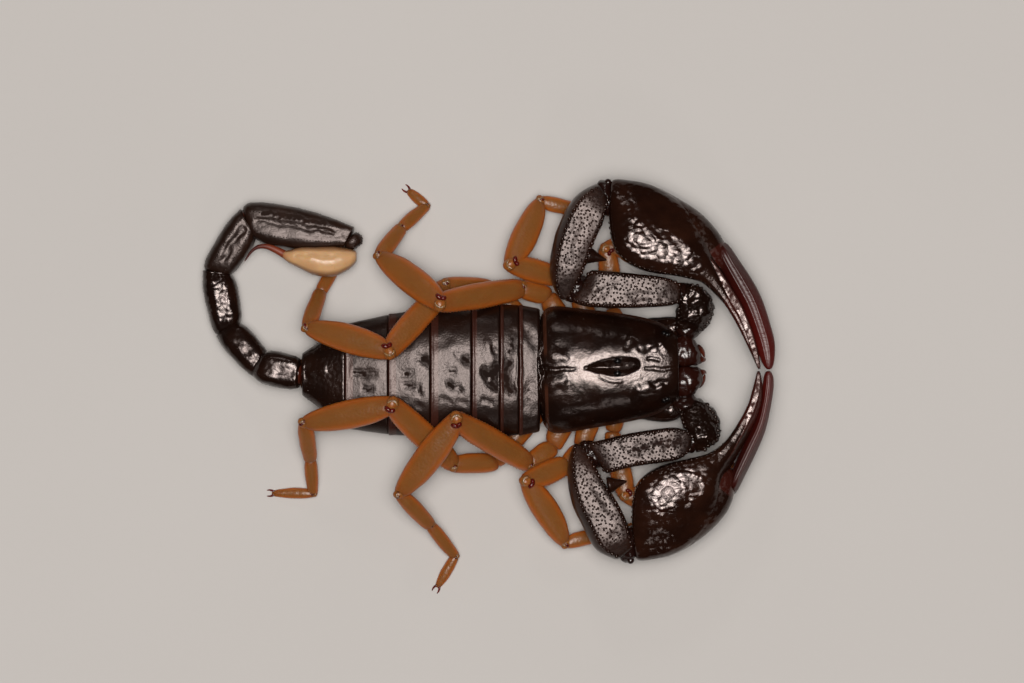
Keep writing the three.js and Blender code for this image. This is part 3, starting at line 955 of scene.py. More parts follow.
class Paint:
    """One finish's nodes: a Principled shader, and what varies over the surface."""

    def __init__(self, name: str) -> None:
        """Starts a material with its shader and with the surface's coordinates in millimetres.

        Args:
            name: The material's name.
        """
        self.material = bpy.data.materials.new(name)
        self.material.use_nodes = True
        self.tree = self.material.node_tree
        self.shader = next(n for n in self.tree.nodes if n.type == "BSDF_PRINCIPLED")
        place = self.node("ShaderNodeTexCoord", {}, {}).outputs["Object"]
        scaled = self.node("ShaderNodeVectorMath", {"operation": "SCALE"}, {"Vector": place, "Scale": 1 / MM})
        self.place = scaled.outputs[0]

    def node(self, kind: str, settings: dict, inputs: dict) -> Node:
        """Adds a node by its type, its settings, set first, and the values or links of its sockets."""
        plain = {key: value.socket if isinstance(value, Value) else value for key, value in inputs.items()}
        return add_node(self.tree, kind, settings, plain)

    def attribute(self, name: str) -> Value:
        """A number stored on the piece's points."""
        return Value(self, self.node("ShaderNodeAttribute", {"attribute_name": name}, {}).outputs["Fac"])

    def stretched(self, factors: Row) -> Socket:
        """The coordinates, each multiplied by a factor."""
        inputs = {0: self.place, 1: factors}
        return self.node("ShaderNodeVectorMath", {"operation": "MULTIPLY"}, inputs).outputs[0]

    def stirred(self, place: Socket, scale: float, reach: float) -> Socket:
        """Coordinates pushed about by a cloudy pattern.

        Args:
            place: The coordinates.
            scale: How many swirls lie in a millimetre.
            reach: How far they are pushed, in millimetres.

        Returns:
            The coordinates.
        """
        cloud = self.node("ShaderNodeTexNoise", {}, {"Vector": place, "Scale": scale, "Detail": 1.0})
        inputs = {"Vector": cloud.outputs["Color"], "Scale": reach}
        push = self.node("ShaderNodeVectorMath", {"operation": "SCALE"}, inputs)
        inputs = {0: place, 1: push.outputs[0]}
        return self.node("ShaderNodeVectorMath", {"operation": "ADD"}, inputs).outputs[0]

    def noise(self, scale: float, detail: float = 2.0, place: Socket | None = None) -> Value:
        """A cloudy pattern about 0.5."""
        inputs = {"Vector": place or self.place, "Scale": scale, "Detail": detail}
        return Value(self, self.node("ShaderNodeTexNoise", {}, inputs).outputs[0])

    def cells(self, scale: float, soft: float = 0.0, place: Socket | None = None) -> Value:
        """The distance, seen from above, from the nearest cell's middle.

        Args:
            scale: How many cells lie in a millimetre.
            soft: How much the cells melt together, from 0 to 1.
            place: Other coordinates than the piece's own.

        Returns:
            The distance beside a cell's size.
        """
        settings = {"voronoi_dimensions": "2D", "feature": "SMOOTH_F1" if soft else "F1"}
        inputs = {"Vector": place or self.place, "Scale": scale, "Randomness": 1.0}
        if soft:
            inputs["Smoothness"] = soft
        return Value(self, self.node("ShaderNodeTexVoronoi", settings, inputs).outputs["Distance"])

    def mix(self, factor: Value, first: object, second: object) -> Socket:
        """Blends two colours.

        Args:
            factor: 0 gives the first, and 1 the second.
            first: A colour or a colour's socket.
            second: A colour or a colour's socket.

        Returns:
            The blended colour.
        """
        first, second = ((*c, 1.0) if isinstance(c, tuple) else c for c in (first, second))
        node = self.node("ShaderNodeMix", {"data_type": "RGBA"}, {0: factor, 6: first, 7: second})
        return node.outputs[2]

    def dress(
        self,
        colour: Socket,
        roughness: Value,
        height: Value,
        relief: float,
        fixed: dict[str, object],
    ) -> Material:
        """Connects the shader.

        Args:
            colour: The base colour.
            roughness: The roughness.
            height: The fine relief, from 0 to about 1.
            relief: Its real height in millimetres.
            fixed: The shader's values that are the same all over.

        Returns:
            The finished material.
        """
        bump = self.node("ShaderNodeBump", {}, {"Height": height, "Distance": relief * MM, "Strength": 1.0})
        self.tree.links.new(colour, self.shader.inputs["Base Color"])
        self.tree.links.new(roughness.socket, self.shader.inputs["Roughness"])
        self.tree.links.new(bump.outputs[0], self.shader.inputs["Normal"])
        for key, value in fixed.items():
            self.shader.inputs[key].default_value = value
        return self.material


@dataclass(frozen=True)
class ShellFinish:
    """Dark glossy shell with brown skin where zone is 1. Cobbles lie where along is below fade, and pits
    where lift is above 0.9. A painted rim light tints the outermost edge, as light shining through the thin
    margin would; the band (from, to, outside) colours a span along the piece from a distance across outwards."""

    name: str
    dark: Colour = (0.0068, 0.0026, 0.0015)
    warm: Colour = (0.02, 0.0066, 0.0034)
    skin: Colour = (0.05, 0.01, 0.005)
    warmth: float = 0.4
    cobbles: float = 1.0
    cobble_scale: float = 4.5
    stretch: Row = (1.0, 1.0, 1.0)
    melt: float = 0.3
    pits: float = 0.0
    ripples: float = 0.5
    ripple_scale: float = 3.0
    fine: float = 0.08
    gloss: float = 0.1
    relief: float = 0.03
    shine: float = 0.5
    # painted rim light: how strongly the outermost edge takes the band colour, standing for light through the
    # thin margin
    glow: float = 0.0
    fade: Row = (2.0, 3.0)
    band: Row = ()
    # the band's own colour, also used for the painted rim light at the outermost edge
    band_colour: Colour = (0.06, 0.02, 0.011)

    def material(self) -> Material:
        """Makes the material.

        Returns:
            The material.
        """
        paint = Paint(self.name)
        names = ("lift", "zone", "bead", "along", "dull")
        lift, zone, bead, along, dull = (paint.attribute(name) for name in names)
        place = paint.stirred(paint.stretched(self.stretch), 1.6, 0.3)
        cloud, fine = paint.noise(0.8, 2.0), paint.noise(12.0, 3.0)
        cobble = paint.cells(self.cobble_scale, self.melt, place)
        swell = paint.noise(self.ripple_scale, 3.0, place)
        rough_part = along.step(self.fade[1], self.fade[0])
        height = swell * self.ripples + fine * self.fine - cobble * rough_part * (0.8 * self.cobbles)
        patch = (dull * 1.6 + paint.noise(5.0, 3.0) * 1.8 - 1.5).step(0.0, 0.7)
        roughness = (self.gloss + fine * 0.1) * (1 - bead * 0.6) + patch * 0.85
        if self.pits > 0:
            hole = paint.cells(6.4).step(0.3, 0.17) * lift.step(0.9, 0.95) * (1 - bead)
            height = height - hole * self.pits
            roughness = roughness + hole * 0.5
        colour = paint.mix(cloud.step(0.35, 0.75) * self.warmth, self.dark, self.warm)
        if self.glow > 0:
            # painted light: the outermost edge in the band colour stands for light shining through the thin
            # margin
            across = abs(paint.attribute("across"))
            colour = paint.mix(across.step(0.93, 0.99) * self.glow, colour, self.band_colour)
            low, high, outside = self.band
            inside = along.step(low, low + 0.02) * along.step(high + 0.02, high)
            inside = inside * across.step(outside, outside + 0.15) * (cloud + 0.4)
            colour = paint.mix(inside, colour, self.band_colour)
        colour = paint.mix(zone.step(0.4, 0.6) * (1 - bead), colour, self.skin)
        fixed = {"IOR": SHELL_IOR, "Specular IOR Level": self.shine, "Specular Tint": WARM_GLOSS}
        return paint.dress(colour, roughness, height, self.relief, fixed)


@dataclass(frozen=True)
class LegFinish:
    """Translucent honey skin, painted orange at its edges and paler on its top, as light shining through the
    thin rim looks: zone 1 is a dark red knuckle, zone 2 a pale fold.
    """

    name: str
    # edge and pale are painted light: the orange rim and the paler top of light shining through the thin skin
    edge: Colour = (0.38, 0.092, 0.009)
    pale: Colour = (0.17, 0.072, 0.017)
    deep: Colour = (0.2, 0.046, 0.009)
    knuckle: Colour = (0.085, 0.005, 0.003)
    fold: Colour = (0.27, 0.13, 0.055)

    def material(self) -> Material:
        """Makes the material.

        Returns:
            The material.
        """
        paint = Paint(self.name)
        along, lift, zone, bead = (paint.attribute(name) for name in ("along", "lift", "zone", "bead"))
        cloud, fine = paint.noise(0.9, 2.0), paint.noise(9.0, 3.0)
        # painted light: orange towards the edges and paler on top by lift, as light through the rim; the
        # cloud varies it at random
        colour = paint.mix(lift.step(0.5, 1.0) * 0.75 + cloud * 0.25, self.edge, self.pale)
        colour = paint.mix(abs(along - 0.5).step(0.33, 0.55) * 0.6, colour, self.deep)
        colour = paint.mix(bead * 0.7, colour, self.deep)
        colour = paint.mix(zone.step(0.4, 0.6) * zone.step(1.6, 1.4), colour, self.knuckle)
        colour = paint.mix(zone.step(1.4, 1.6), colour, self.fold)
        height = fine * 0.5 + paint.noise(2.5, 2.0) * 0.8 - paint.cells(8.0, 0.3) * 0.35
        roughness = 0.26 + fine * 0.16 - zone.step(0.4, 0.6) * 0.14
        fixed = {
            "IOR": 1.42,
            "Subsurface Weight": 0.5,
            "Subsurface Radius": (0.9, 0.4, 0.15),
            "Subsurface Scale": 0.0005,
        }
        return paint.dress(colour, roughness, height, 0.02, fixed)


@dataclass(frozen=True)
class HornFinish:
    """A see-through looking horn that runs from one colour to another along the piece, lightly ribbed; it
    can carry painted shade that darkens it towards its sides.
    """

    name: str
    root: Colour
    tip: Colour
    turn: tuple[float, float] = (0.2, 0.8)
    ribs: float = 0.4
    gloss: float = 0.2
    soft: float = 0.0
    # painted shade: how much darker the sides across the piece are
    across_shade: float = 0.0
    depth: float = 0.02
    mottle: float = 0.5

    def material(self) -> Material:
        """Makes the material.

        Returns:
            The material.
        """
        paint = Paint(self.name)
        along, across, bead = (paint.attribute(name) for name in ("along", "across", "bead"))
        cloud, fine = paint.noise(1.1, 2.0), paint.noise(10.0, 3.0)
        rib = paint.noise(7.0, 2.0, paint.stretched((0.25, 1.0, 1.0)))
        colour = paint.mix(along.step(*self.turn), self.root, self.tip)
        # painted shade darkens the sides across; the random mottle and the beads' darker tone are the horn's
        # own colour
        shade = abs(across).step(0.35, 1.0) * self.across_shade
        dark_mottle_and_shade = tuple(0.55 * part for part in self.tip)
        colour = paint.mix((cloud * self.mottle).most(shade).most(bead * 0.4), colour, dark_mottle_and_shade)
        height = rib * self.ribs + fine * 0.2
        fixed = {
            "IOR": 1.46,
            "Subsurface Weight": self.soft,
            "Subsurface Radius": (0.8, 0.35, 0.15),
            "Subsurface Scale": 0.0004,
        }
        return paint.dress(colour, self.gloss + fine * 0.18, height, self.depth, fixed)


@dataclass(frozen=True)
class FloorFinish:
    """A plain pale matt floor with the faintest unevenness."""

    name: str
    light: Colour = (0.52, 0.51, 0.495)
    shade: Colour = (0.49, 0.48, 0.465)

    def material(self) -> Material:
        """Makes the material.

        Returns:
            The material.
        """
        paint = Paint(self.name)
        cloud, fine = paint.noise(0.05, 3.0), paint.noise(3.0, 2.0)
        colour = paint.mix(cloud, self.light, self.shade)
        return paint.dress(colour, 0.75 + fine * 0.1, fine, 0.005, {"IOR": 1.4})


# ---- arms


class Kit:
    """What every sub-assembly works with: the datum's place in the frame, the beads and the finishes."""

    def __init__(self) -> None:
        """Finds the datum from the first trunk ring, and makes the beads and the finishes."""
        low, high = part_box("mesosoma_1")
        self.datum = Vector((high.x - TRUNK_FRONT * MM, (low.y + high.y) / 2, 0.0))
        self.beads = Beads()
        self.finishes = finishes()

    def place(self, point: Row) -> Vector:
        """A point given from the datum in millimetres, in the frame's metres."""
        return self.datum + Vector(point) * MM

    def hand_in(self, piece: Piece, finish: str, slot: Slot, *nodes: str) -> None:
        """Brings a finished piece to the frame's size and place, and dresses it.

        Args:
            piece: The piece, in millimetres from the datum.
            finish: The name of its finish.
            slot: The record's slot for it; not used.
            nodes: The frame's nodes that it stands for.
        """
        hold(piece)
        piece.scale = (MM, MM, MM)
        piece.location = self.datum
        bpy.ops.object.transform_apply(location=True, rotation=True, scale=True)
        bpy.ops.object.shade_smooth()
        piece.data.materials.clear()
        piece.data.materials.append(self.finishes[finish])
        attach(piece, "root")
        if nodes:
            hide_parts(*nodes)
        LOG.info("%s: %d faces for %s", piece.name, len(piece.data.polygons), ", ".join(nodes) or "a joint")


FLAT_TOPPED = domed(0.84, 2.4, 0.3, 0.0, (Keel(2, 0.8, (0.05, 0.96)), Keel(14, 0.8, (0.05, 0.96))))
SLOPED_TOP = Outline(
    (
        (-0.5, 0.99), (0.05, 1), (0.6, 0.97), (0.84, 0.74), (0.96, 0.42), (1, 0.1), (0.88, -0.5), (0.5, -0.9),
        (0, -1), (-0.5, -0.92), (-0.88, -0.5), (-1, 0.1), (-0.98, 0.55), (-0.9, 0.93),
    ),
    (Keel(2, 0.7, (0.03, 0.97)), Keel(13, 0.8, (0.03, 0.97))),
)
HAND_TOP = Outline(
    (
        (-0.45, 1), (-0.02, 0.99), (0.27, 0.9), (0.6, 0.66), (0.88, 0.42), (0.98, 0.2), (1, 0.0),
        (0.85, -0.6), (0.45, -0.93), (0, -1), (-0.45, -0.93), (-0.85, -0.55), (-0.99, 0.05), (-0.97, 0.5),
        (-0.92, 0.82), (-0.77, 0.975),
    ),
    (Keel(4, 0.75, None), Keel(14, 0.6, (0.04, 0.62)), Keel(1, 0.25, None)),
)
HAND_SIDE = domed(0.2, 2.1, 0.1)
FINGER = Outline(
    both_sides(((0, 0.9), (0.3, 1), (0.62, 0.7), (0.88, 0.42), (1, 0.0), (0.75, -0.75), (0, -1))),
    (Keel(1, 0.75, None), Keel(11, 0.6, None), Keel(3, 0.5, None)),
)


@dataclass(frozen=True)
class Arm:
    """One arm from its root to the two fingers, with the spur and the skins of its joints."""

    side: Side
    coxa: Between
    trochanter: Between
    femur: Between
    patella: Between
    hand: Between
    hand_side: Between
    finger: Between
    strip: Rows
    strokes: tuple[Stroke, ...]
    spur: Rows
    skins: Rows                # joint skins: centre, three half sizes, heading
    knuckles: Rows             # centre and radius
    bead: float = 0.095
    bead_step: float = 0.225

    def build(self, kit: Kit) -> None:
        """Makes every piece of the arm.
        """
        name = f"pedipalp_{self.side.word}"
        self._root(kit, f"{name}_coxa")
        self._trochanter(kit, f"{name}_trochanter")
        self._femur(kit, f"{name}_femur")
        self._patella(kit, f"{name}_patella")
        self._hand(kit, f"{name}_chela")
        self._finger(kit, f"{name}_finger")
        pieces = []
        for x, y, z, wide, deep, high, heading in self.skins:
            skin = ball(f"{name}_joint_skin", Vector((x, y, z)), (wide, deep, high), heading, 10)
            smooth(skin, 1)
            ripple(skin, 0.35, 0.22)
            pieces.append(label(skin, "zone", 1.0))
        for x, y, z, radius in self.knuckles:
            knuckle = ball(f"{name}_knuckle", Vector((x, y, z)), (radius, radius, radius * 0.8))
            pieces.append(label(knuckle, "zone", 2.0))
        kit.hand_in(join(pieces), "skin", Slot.UNDERSIDE)

    def _root(self, kit: Kit, name: str) -> None:
        """The coxa, a smooth wedge under the head's front corner.

        Args:
            name: The frame's node.
        """
        piece = Loft(rounded(12, 2.6), self.coxa.stations(7, Ends(0.1, 0.12, 0.4))).draw(f"{name}_shell")
        ripple(piece, 0.8, 0.12)
        kit.beads.strew(piece, 0.2, 0.035, lambda vert: 0.5 if vert.normal.z > 0.3 else 0.0)
        kit.hand_in(piece, "arm", Slot.SHELL, name)

    def _trochanter(self, kit: Kit, name: str) -> None:
        """The trochanter, lumpy and thickly beaded.

        Args:
            name: The frame's node.
        """
        outline = rounded(12, 2.4, (Keel(2, 0.3, (0.1, 0.9)), Keel(10, 0.3, (0.1, 0.9))))
        piece = Loft(outline, self.trochanter.stations(8, Ends(0.12, 0.12, 0.4))).draw(f"{name}_shell")
        ripple(piece, 0.45, 0.32)
        kit.beads.strew(piece, 0.17, 0.045, lambda vert: 0.8 if vert.normal.z > 0.1 else 0.0)
        kit.beads.row(piece, self.bead_step, self.bead * 1.2)
        kit.hand_in(piece, "arm", Slot.SHELL, name)

    def _femur(self, kit: Kit, name: str) -> None:
        """The femur, with a flat pitted face between two rows of beads.

        Args:
            name: The frame's node.
        """
        piece = Loft(FLAT_TOPPED, self.femur.stations(14, Ends(0.07, 0.06, 0.5))).draw(f"{name}_shell")
        ripple(piece, 0.9, 0.05)
        carve(piece, self.strokes)
        kit.beads.row(piece, self.bead_step, self.bead)
        kit.hand_in(piece, "plate", Slot.SHELL, name)

    def _patella(self, kit: Kit, name: str) -> None:
        """The patella, with its flat face towards the body's side and a dark flank outside it.

        Args:
            name: The frame's node.
        """
        body = Loft(SLOPED_TOP, self.patella.stations(17, Ends(0.04, 0.035, 0.6))).draw(f"{name}_shell")
        spur_line = Chain(self.spur)
        rows = ((0, 1.0, 1.0), (0.5, 0.72, 0.74), (1, 0.46, 0.48), (1.6, 0.22, 0.22), (2.0, 0.08, 0.08))
        spur_rings = tuple(spur_line.station(0, share, wide, deep) for share, wide, deep in rows)
        spur = Loft(rounded(8), spur_rings).draw("spur")
        ripple(body, 0.9, 0.05)
        carve(body, self.strokes)
        kit.beads.row(body, self.bead_step, self.bead)
        kit.beads.strew(spur, 0.2, 0.03, lambda vert: 0.6)
        kit.hand_in(join([body, spur]), "plate", Slot.SHELL, name)

    def _hand(self, kit: Kit, name: str) -> None:
        """The swollen hand, which runs on into the fixed finger with a flat strip on its top.

        Args:
            name: The frame's node.
        """
        top = Loft(HAND_TOP, self.hand.stations(24, Ends(0.02, 0.02, 0.55))).draw(f"{name}_shell")
        low = Loft(HAND_SIDE, self.hand_side.stations(14, Ends(0.08, 0.1, 0.4))).draw("side")
        joints = tuple(tuple(through(self.strip, share)) for share in spread(16))
        chain = Chain(tuple(row[:3] for row in joints), 1.0)
        rings = chain.rings([(row[3], 0.3) for row in joints], 0.9, 0.9)
        strip = Loft(domed(0.7, 2.2, 0.1), rings).draw("strip")
        for piece in (top, low, strip):
            ripple(piece, 0.8, 0.04)
        kit.beads.row(top, self.bead_step, self.bead * 0.65)
        kit.beads.strew(low, 0.16, 0.02, lambda vert: 0.25)
        for piece in (top, low):
            carve(piece, self.strokes)
        label(strip, "dull", 0.52)
        kit.hand_in(join([top, low, strip]), "hand", Slot.SHELL, name)

    def _finger(self, kit: Kit, name: str) -> None:
        """The movable finger, ridged lengthwise and hooked at its tip."""
        piece = Loft(FINGER, self.finger.stations(18, Ends(0.12, 0.08, 0.2))).draw(f"{name}_shell")
        kit.hand_in(piece, "finger", Slot.FINGER, name)


LEVELS = {
    "coxa": ((1.75, 0.85), (1.86, 0.75), (1.95, 0.85), (1.9, 1.0)),
    "trochanter": ((2.3, 1.2), (2.7, 1.25), (2.95, 1.45), (3.1, 1.6), (2.9, 1.8)),
    "femur": ((3.1, 1.9), (3.28, 1.78), (3.34, 1.72), (3.32, 1.72), (3.15, 1.9)),
    "patella": ((3.15, 2.0), (3.4, 1.7), (3.5, 1.6), (3.55, 1.55), (3.55, 1.55), (3.5, 1.65), (3.3, 1.85)),
    "side": ((3.0, 1.5), (3.2, 1.35), (3.35, 1.3), (3.45, 1.35), (3.45, 1.4), (3.4, 1.5), (3.2, 1.7)),
    "finger": ((3.3, 1.85), (3.3, 1.9), (3.25, 1.95), (3.2, 2.05), (3.15, 2.2), (3.1, 2.4), (3.05, 2.7)),
}

LEFT_ARM = Arm(
    Side.LEFT,
    coxa=Between(
        ((3.98, 2.15), (4.9, 2.35), (5.85, 2.4), (6.3, 2.2)),
        ((4.02, 1.0), (5.2, 0.75), (6.2, 1.35), (6.45, 1.7)),
        LEVELS["coxa"],
    ),
    trochanter=Between(
        ((6.9, 1.5), (7.5, 2.1), (7.66, 2.95), (7.2, 3.65), (6.3, 3.95)),
        ((6.1, 1.75), (5.95, 2.2), (5.95, 2.5), (6.0, 2.75), (6.1, 3.0)),
        LEVELS["trochanter"],
    ),
    femur=Between(
        ((6.15, 3.85), (5.3, 4.15), (3.8, 4.3), (2.6, 4.42), (2.15, 4.42)),
        ((6.22, 3.05), (5.6, 2.82), (3.9, 2.74), (2.2, 2.76), (1.3, 3.02)),
        LEVELS["femur"],
    ),
    patella=Between(
        ((0.8, 3.14), (0.42, 3.9), (0.36, 4.75), (0.5, 5.6), (0.86, 6.7), (1.55, 7.75), (2.5, 8.3)),
        ((1.15, 3.1), (1.68, 3.95), (2.0, 4.7), (2.32, 5.6), (2.72, 6.45), (2.9, 7.15), (2.98, 7.55)),
        LEVELS["patella"],
    ),
    hand=Between(
        ((3.08, 8.5), (4.62, 8.3), (5.8, 7.72), (6.66, 7.0), (7.2, 6.15), (7.66, 5.2), (8.58, 3.15),
         (9.44, 1.38), (9.72, 0.05)),
        ((2.98, 6.9), (3.2, 5.2), (4.4, 4.38), (5.96, 4.12), (6.8, 3.94), (7.3, 3.7), (8.14, 2.8),
         (8.93, 1.4), (9.56, 0.03)),
        ((3.45, 1.75), (3.9, 1.35), (4.0, 1.25), (3.95, 1.35), (3.85, 1.6), (3.72, 1.95), (3.55, 2.3),
         (3.4, 2.5), (3.3, 2.75)),
    ),
    hand_side=Between(
        ((3.9, 8.42), (5.1, 8.14), (6.1, 7.62), (7.1, 6.98), (7.95, 6.05), (8.25, 5.3), (8.35, 4.6)),
        ((3.6, 7.2), (4.5, 6.5), (5.1, 5.7), (5.6, 5.0), (6.1, 4.5), (6.6, 4.1), (7.3, 3.75)),
        LEVELS["side"],
    ),
    finger=Between(
        ((8.16, 5.84), (8.6, 5.14), (9.34, 4.04), (9.8, 3.14), (10.16, 2.02), (10.36, 1.11), (10.28, 0.03)),
        ((7.66, 5.2), (7.82, 4.62), (8.34, 3.56), (8.8, 2.72), (9.2, 1.74), (9.5, 0.9), (9.84, 0.03)),
        LEVELS["finger"],
    ),
    strip=((7.15, 5.1, 3.42, 0.3), (7.64, 4.42, 3.42, 0.42), (8.24, 3.44, 3.4, 0.44), (8.78, 2.6, 3.33, 0.36),
           (9.16, 1.66, 3.3, 0.34), (9.42, 0.81, 3.26, 0.28), (9.62, 0.06, 3.2, 0.12)),
    strokes=(
        Stroke(-0.04, ((4.0, 3.3, 0.3), (4.8, 3.25, 0.3)), 0.25),
        Stroke(-0.03, ((2.6, 3.35, 0.3), (3.2, 3.9, 0.2)), 0.15),
        Stroke(-0.03, ((5.3, 3.2, 0.35), (5.9, 3.4, 0.35)), 0.4),
        Stroke(0.0, ((3.2, 2.8, 0.3), (5.0, 2.85, 0.3)), 0.3),
        Stroke(0.03, ((2.3, 3.6, 0.35),)),
        Stroke(-0.035, ((1.6, 6.6, 0.35), (1.3, 5.6, 0.28), (1.2, 4.7, 0.25))),
        Stroke(-0.02, ((2.5, 7.3, 0.4), (2.9, 7.6, 0.4)), 0.3),
        Stroke(0.0, ((6.5, 6.7, 0.5), (7.0, 6.2, 0.6), (7.5, 5.5, 0.6), (7.9, 4.7, 0.4)), 0.5),
        Stroke(0.03, ((4.0, 6.0, 0.5), (4.9, 5.6, 0.4))),
        Stroke(-0.03, ((5.3, 6.0, 0.3), (6.2, 5.4, 0.3))),
    ),
    spur=((2.0, 5.1, 2.6), (2.45, 4.98, 2.6)),
    skins=(
        (1.5, 3.6, 2.4, 0.72, 0.66, 0.72, 0.3),
        (2.85, 7.6, 2.45, 0.5, 0.85, 0.66, 0.2),
        (6.15, 3.4, 2.35, 0.5, 0.5, 0.6, 0.0),
        (6.45, 1.85, 1.8, 0.6, 0.6, 0.55, 0.7),
        (7.85, 5.3, 2.1, 0.46, 0.42, 0.55, 0.6),
    ),
    knuckles=((1.3, 3.2, 2.75, 0.17), (2.95, 8.3, 2.75, 0.16), (7.85, 5.85, 2.3, 0.12)),
)

RIGHT_ARM = Arm(
    Side.RIGHT,
    coxa=Between(
        ((3.98, -2.15), (4.9, -2.3), (5.8, -2.3), (6.2, -2.05)),
        ((4.02, -1.0), (5.2, -0.75), (6.1, -1.2), (6.4, -1.6)),
        LEVELS["coxa"],
    ),
    trochanter=Between(
        ((7.0, -1.15), (7.85, -2.0), (7.9, -2.6), (7.72, -3.25), (6.85, -3.7)),
        ((6.05, -1.6), (6.1, -2.0), (6.2, -2.3), (6.3, -2.5), (6.5, -2.7)),
        LEVELS["trochanter"],
    ),
    femur=Between(
        ((6.6, -3.55), (5.9, -4.0), (4.2, -4.25), (3.2, -4.5), (2.85, -4.58)),
        ((6.72, -2.85), (5.95, -2.52), (4.3, -2.7), (2.85, -3.02), (1.95, -3.2)),
        LEVELS["femur"],
    ),
    patella=Between(
        ((1.45, -3.24), (1.2, -4.0), (1.15, -4.9), (1.38, -6.0), (1.94, -7.15), (2.42, -7.95), (3.35, -8.42)),
        ((1.8, -3.3), (2.3, -4.1), (2.75, -4.9), (3.36, -5.8), (3.8, -6.7), (3.96, -7.35), (4.04, -7.85)),
        LEVELS["patella"],
    ),
    hand=Between(
        ((4.2, -8.5), (5.65, -8.24), (6.64, -7.7), (7.56, -6.84), (7.92, -6.0), (8.06, -4.88), (8.74, -3.66),
         (9.58, -2.03), (9.8, -1.0), (9.68, -0.03)),
        ((4.0, -7.0), (4.08, -5.14), (5.05, -4.25), (6.4, -3.88), (7.1, -3.73), (7.58, -3.53), (8.16, -3.08),
         (8.97, -1.8), (9.28, -0.93), (9.52, -0.03)),
        ((3.45, 1.75), (3.9, 1.35), (4.0, 1.25), (3.95, 1.35), (3.85, 1.6), (3.72, 1.95), (3.58, 2.25),
         (3.42, 2.45), (3.35, 2.6), (3.3, 2.75)),
    ),
    hand_side=Between(
        ((4.9, -8.46), (5.9, -8.18), (6.85, -7.66), (7.75, -6.92), (8.4, -6.05), (8.62, -5.2), (8.72, -4.5)),
        ((4.6, -7.2), (5.4, -6.5), (5.9, -5.7), (6.3, -5.0), (6.7, -4.5), (7.0, -4.1), (7.5, -3.75)),
        LEVELS["side"],
    ),
    finger=Between(
        ((8.62, -5.56), (8.92, -4.88), (9.45, -3.82), (9.92, -2.7), (10.17, -1.57), (10.3, -0.6),
         (10.2, -0.03)),
        ((8.26, -4.9), (8.48, -4.25), (8.94, -3.2), (9.42, -2.24), (9.66, -1.36), (9.76, -0.58),
         (9.86, -0.03)),
        LEVELS["finger"],
    ),
    strip=((7.5, -4.7, 3.4, 0.3), (8.0, -3.95, 3.4, 0.44), (8.5, -3.15, 3.36, 0.44), (9.0, -2.3, 3.3, 0.36),
           (9.36, -1.5, 3.28, 0.34), (9.55, -0.75, 3.26, 0.28), (9.6, -0.06, 3.2, 0.12)),
    strokes=(
        Stroke(-0.03, ((4.2, -3.5, 0.5), (5.2, -3.3, 0.6), (6.2, -3.2, 0.5)), 0.62),
        Stroke(-0.04, ((3.6, -3.3, 0.3), (3.9, -3.0, 0.3)), 0.3),
        Stroke(-0.035, ((2.4, -5.2, 0.25), (2.9, -6.1, 0.3)), 0.05),
        Stroke(-0.03, ((3.3, -7.3, 0.35),), 0.2),
        Stroke(0.0, ((7.1, -6.9, 0.5), (7.6, -6.2, 0.6), (8.0, -5.3, 0.6), (8.3, -4.4, 0.4)), 0.5),
        Stroke(0.03, ((5.0, -6.0, 0.5), (5.9, -5.6, 0.4))),
        Stroke(-0.03, ((6.3, -6.0, 0.3), (6.9, -5.2, 0.3)), 0.1),
    ),
    spur=((2.9, -5.1, 2.6), (3.35, -5.0, 2.6)),
    skins=(
        (2.15, -3.75, 2.4, 0.72, 0.66, 0.72, -0.3),
        (3.9, -7.7, 2.45, 0.5, 0.85, 0.66, -0.2),
        (6.6, -3.15, 2.35, 0.5, 0.5, 0.6, 0.0),
        (6.4, -1.55, 1.8, 0.6, 0.6, 0.55, -0.7),
        (8.35, -5.1, 2.1, 0.4, 0.4, 0.55, -0.6),
    ),
    knuckles=((1.95, -3.3, 2.75, 0.17), (3.95, -8.4, 2.75, 0.16), (8.3, -5.7, 2.3, 0.12)),
)


# ---- trunk


TERGITE = Outline(
    both_sides(
        ((0, 1), (0.25, 0.997), (0.42, 0.98), (0.58, 0.915), (0.74, 0.79), (0.87, 0.6), (0.95, 0.4),
         (1, 0.16), (0.98, 0.04), (0.85, 0.03), (0, 0.03))
    )
)
STERNITE = Outline(tuple((-x, -y) for x, y in TERGITE.points))
Marks = tuple[tuple[float, float, Rows], ...]      # height, dullness, (share of the ring, aside, reach)
RING_MARKS: Marks = (
    (-0.05, 0.8, ((0.42, 0.05, 0.12), (0.55, 0.02, 0.17), (0.7, 0.04, 0.12))),
    (-0.05, 0.75, ((0.58, -0.5, 0.17), (0.42, -0.68, 0.24))),
    (-0.04, 0.6, ((0.3, -0.55, 0.14), (0.24, -0.9, 0.2))),
    (0.04, -0.4, ((0.2, -0.68, 0.17),)),
    (-0.07, 0.7, ((0.02, 0.4, 0.26), (0.14, 0.56, 0.24))),
    (-0.04, 0.5, ((0.22, 0.62, 0.22), (0.36, 0.7, 0.18))),
    (-0.03, 0.3, ((0.9, 1.25, 0.4), (0.6, 1.4, 0.45))),
    (-0.03, 0.5, ((0.75, -1.22, 0.17), (0.52, -1.25, 0.12))),
    (-0.03, 0.5, ((0.32, -1.35, 0.16), (0.2, -1.45, 0.2))),
)
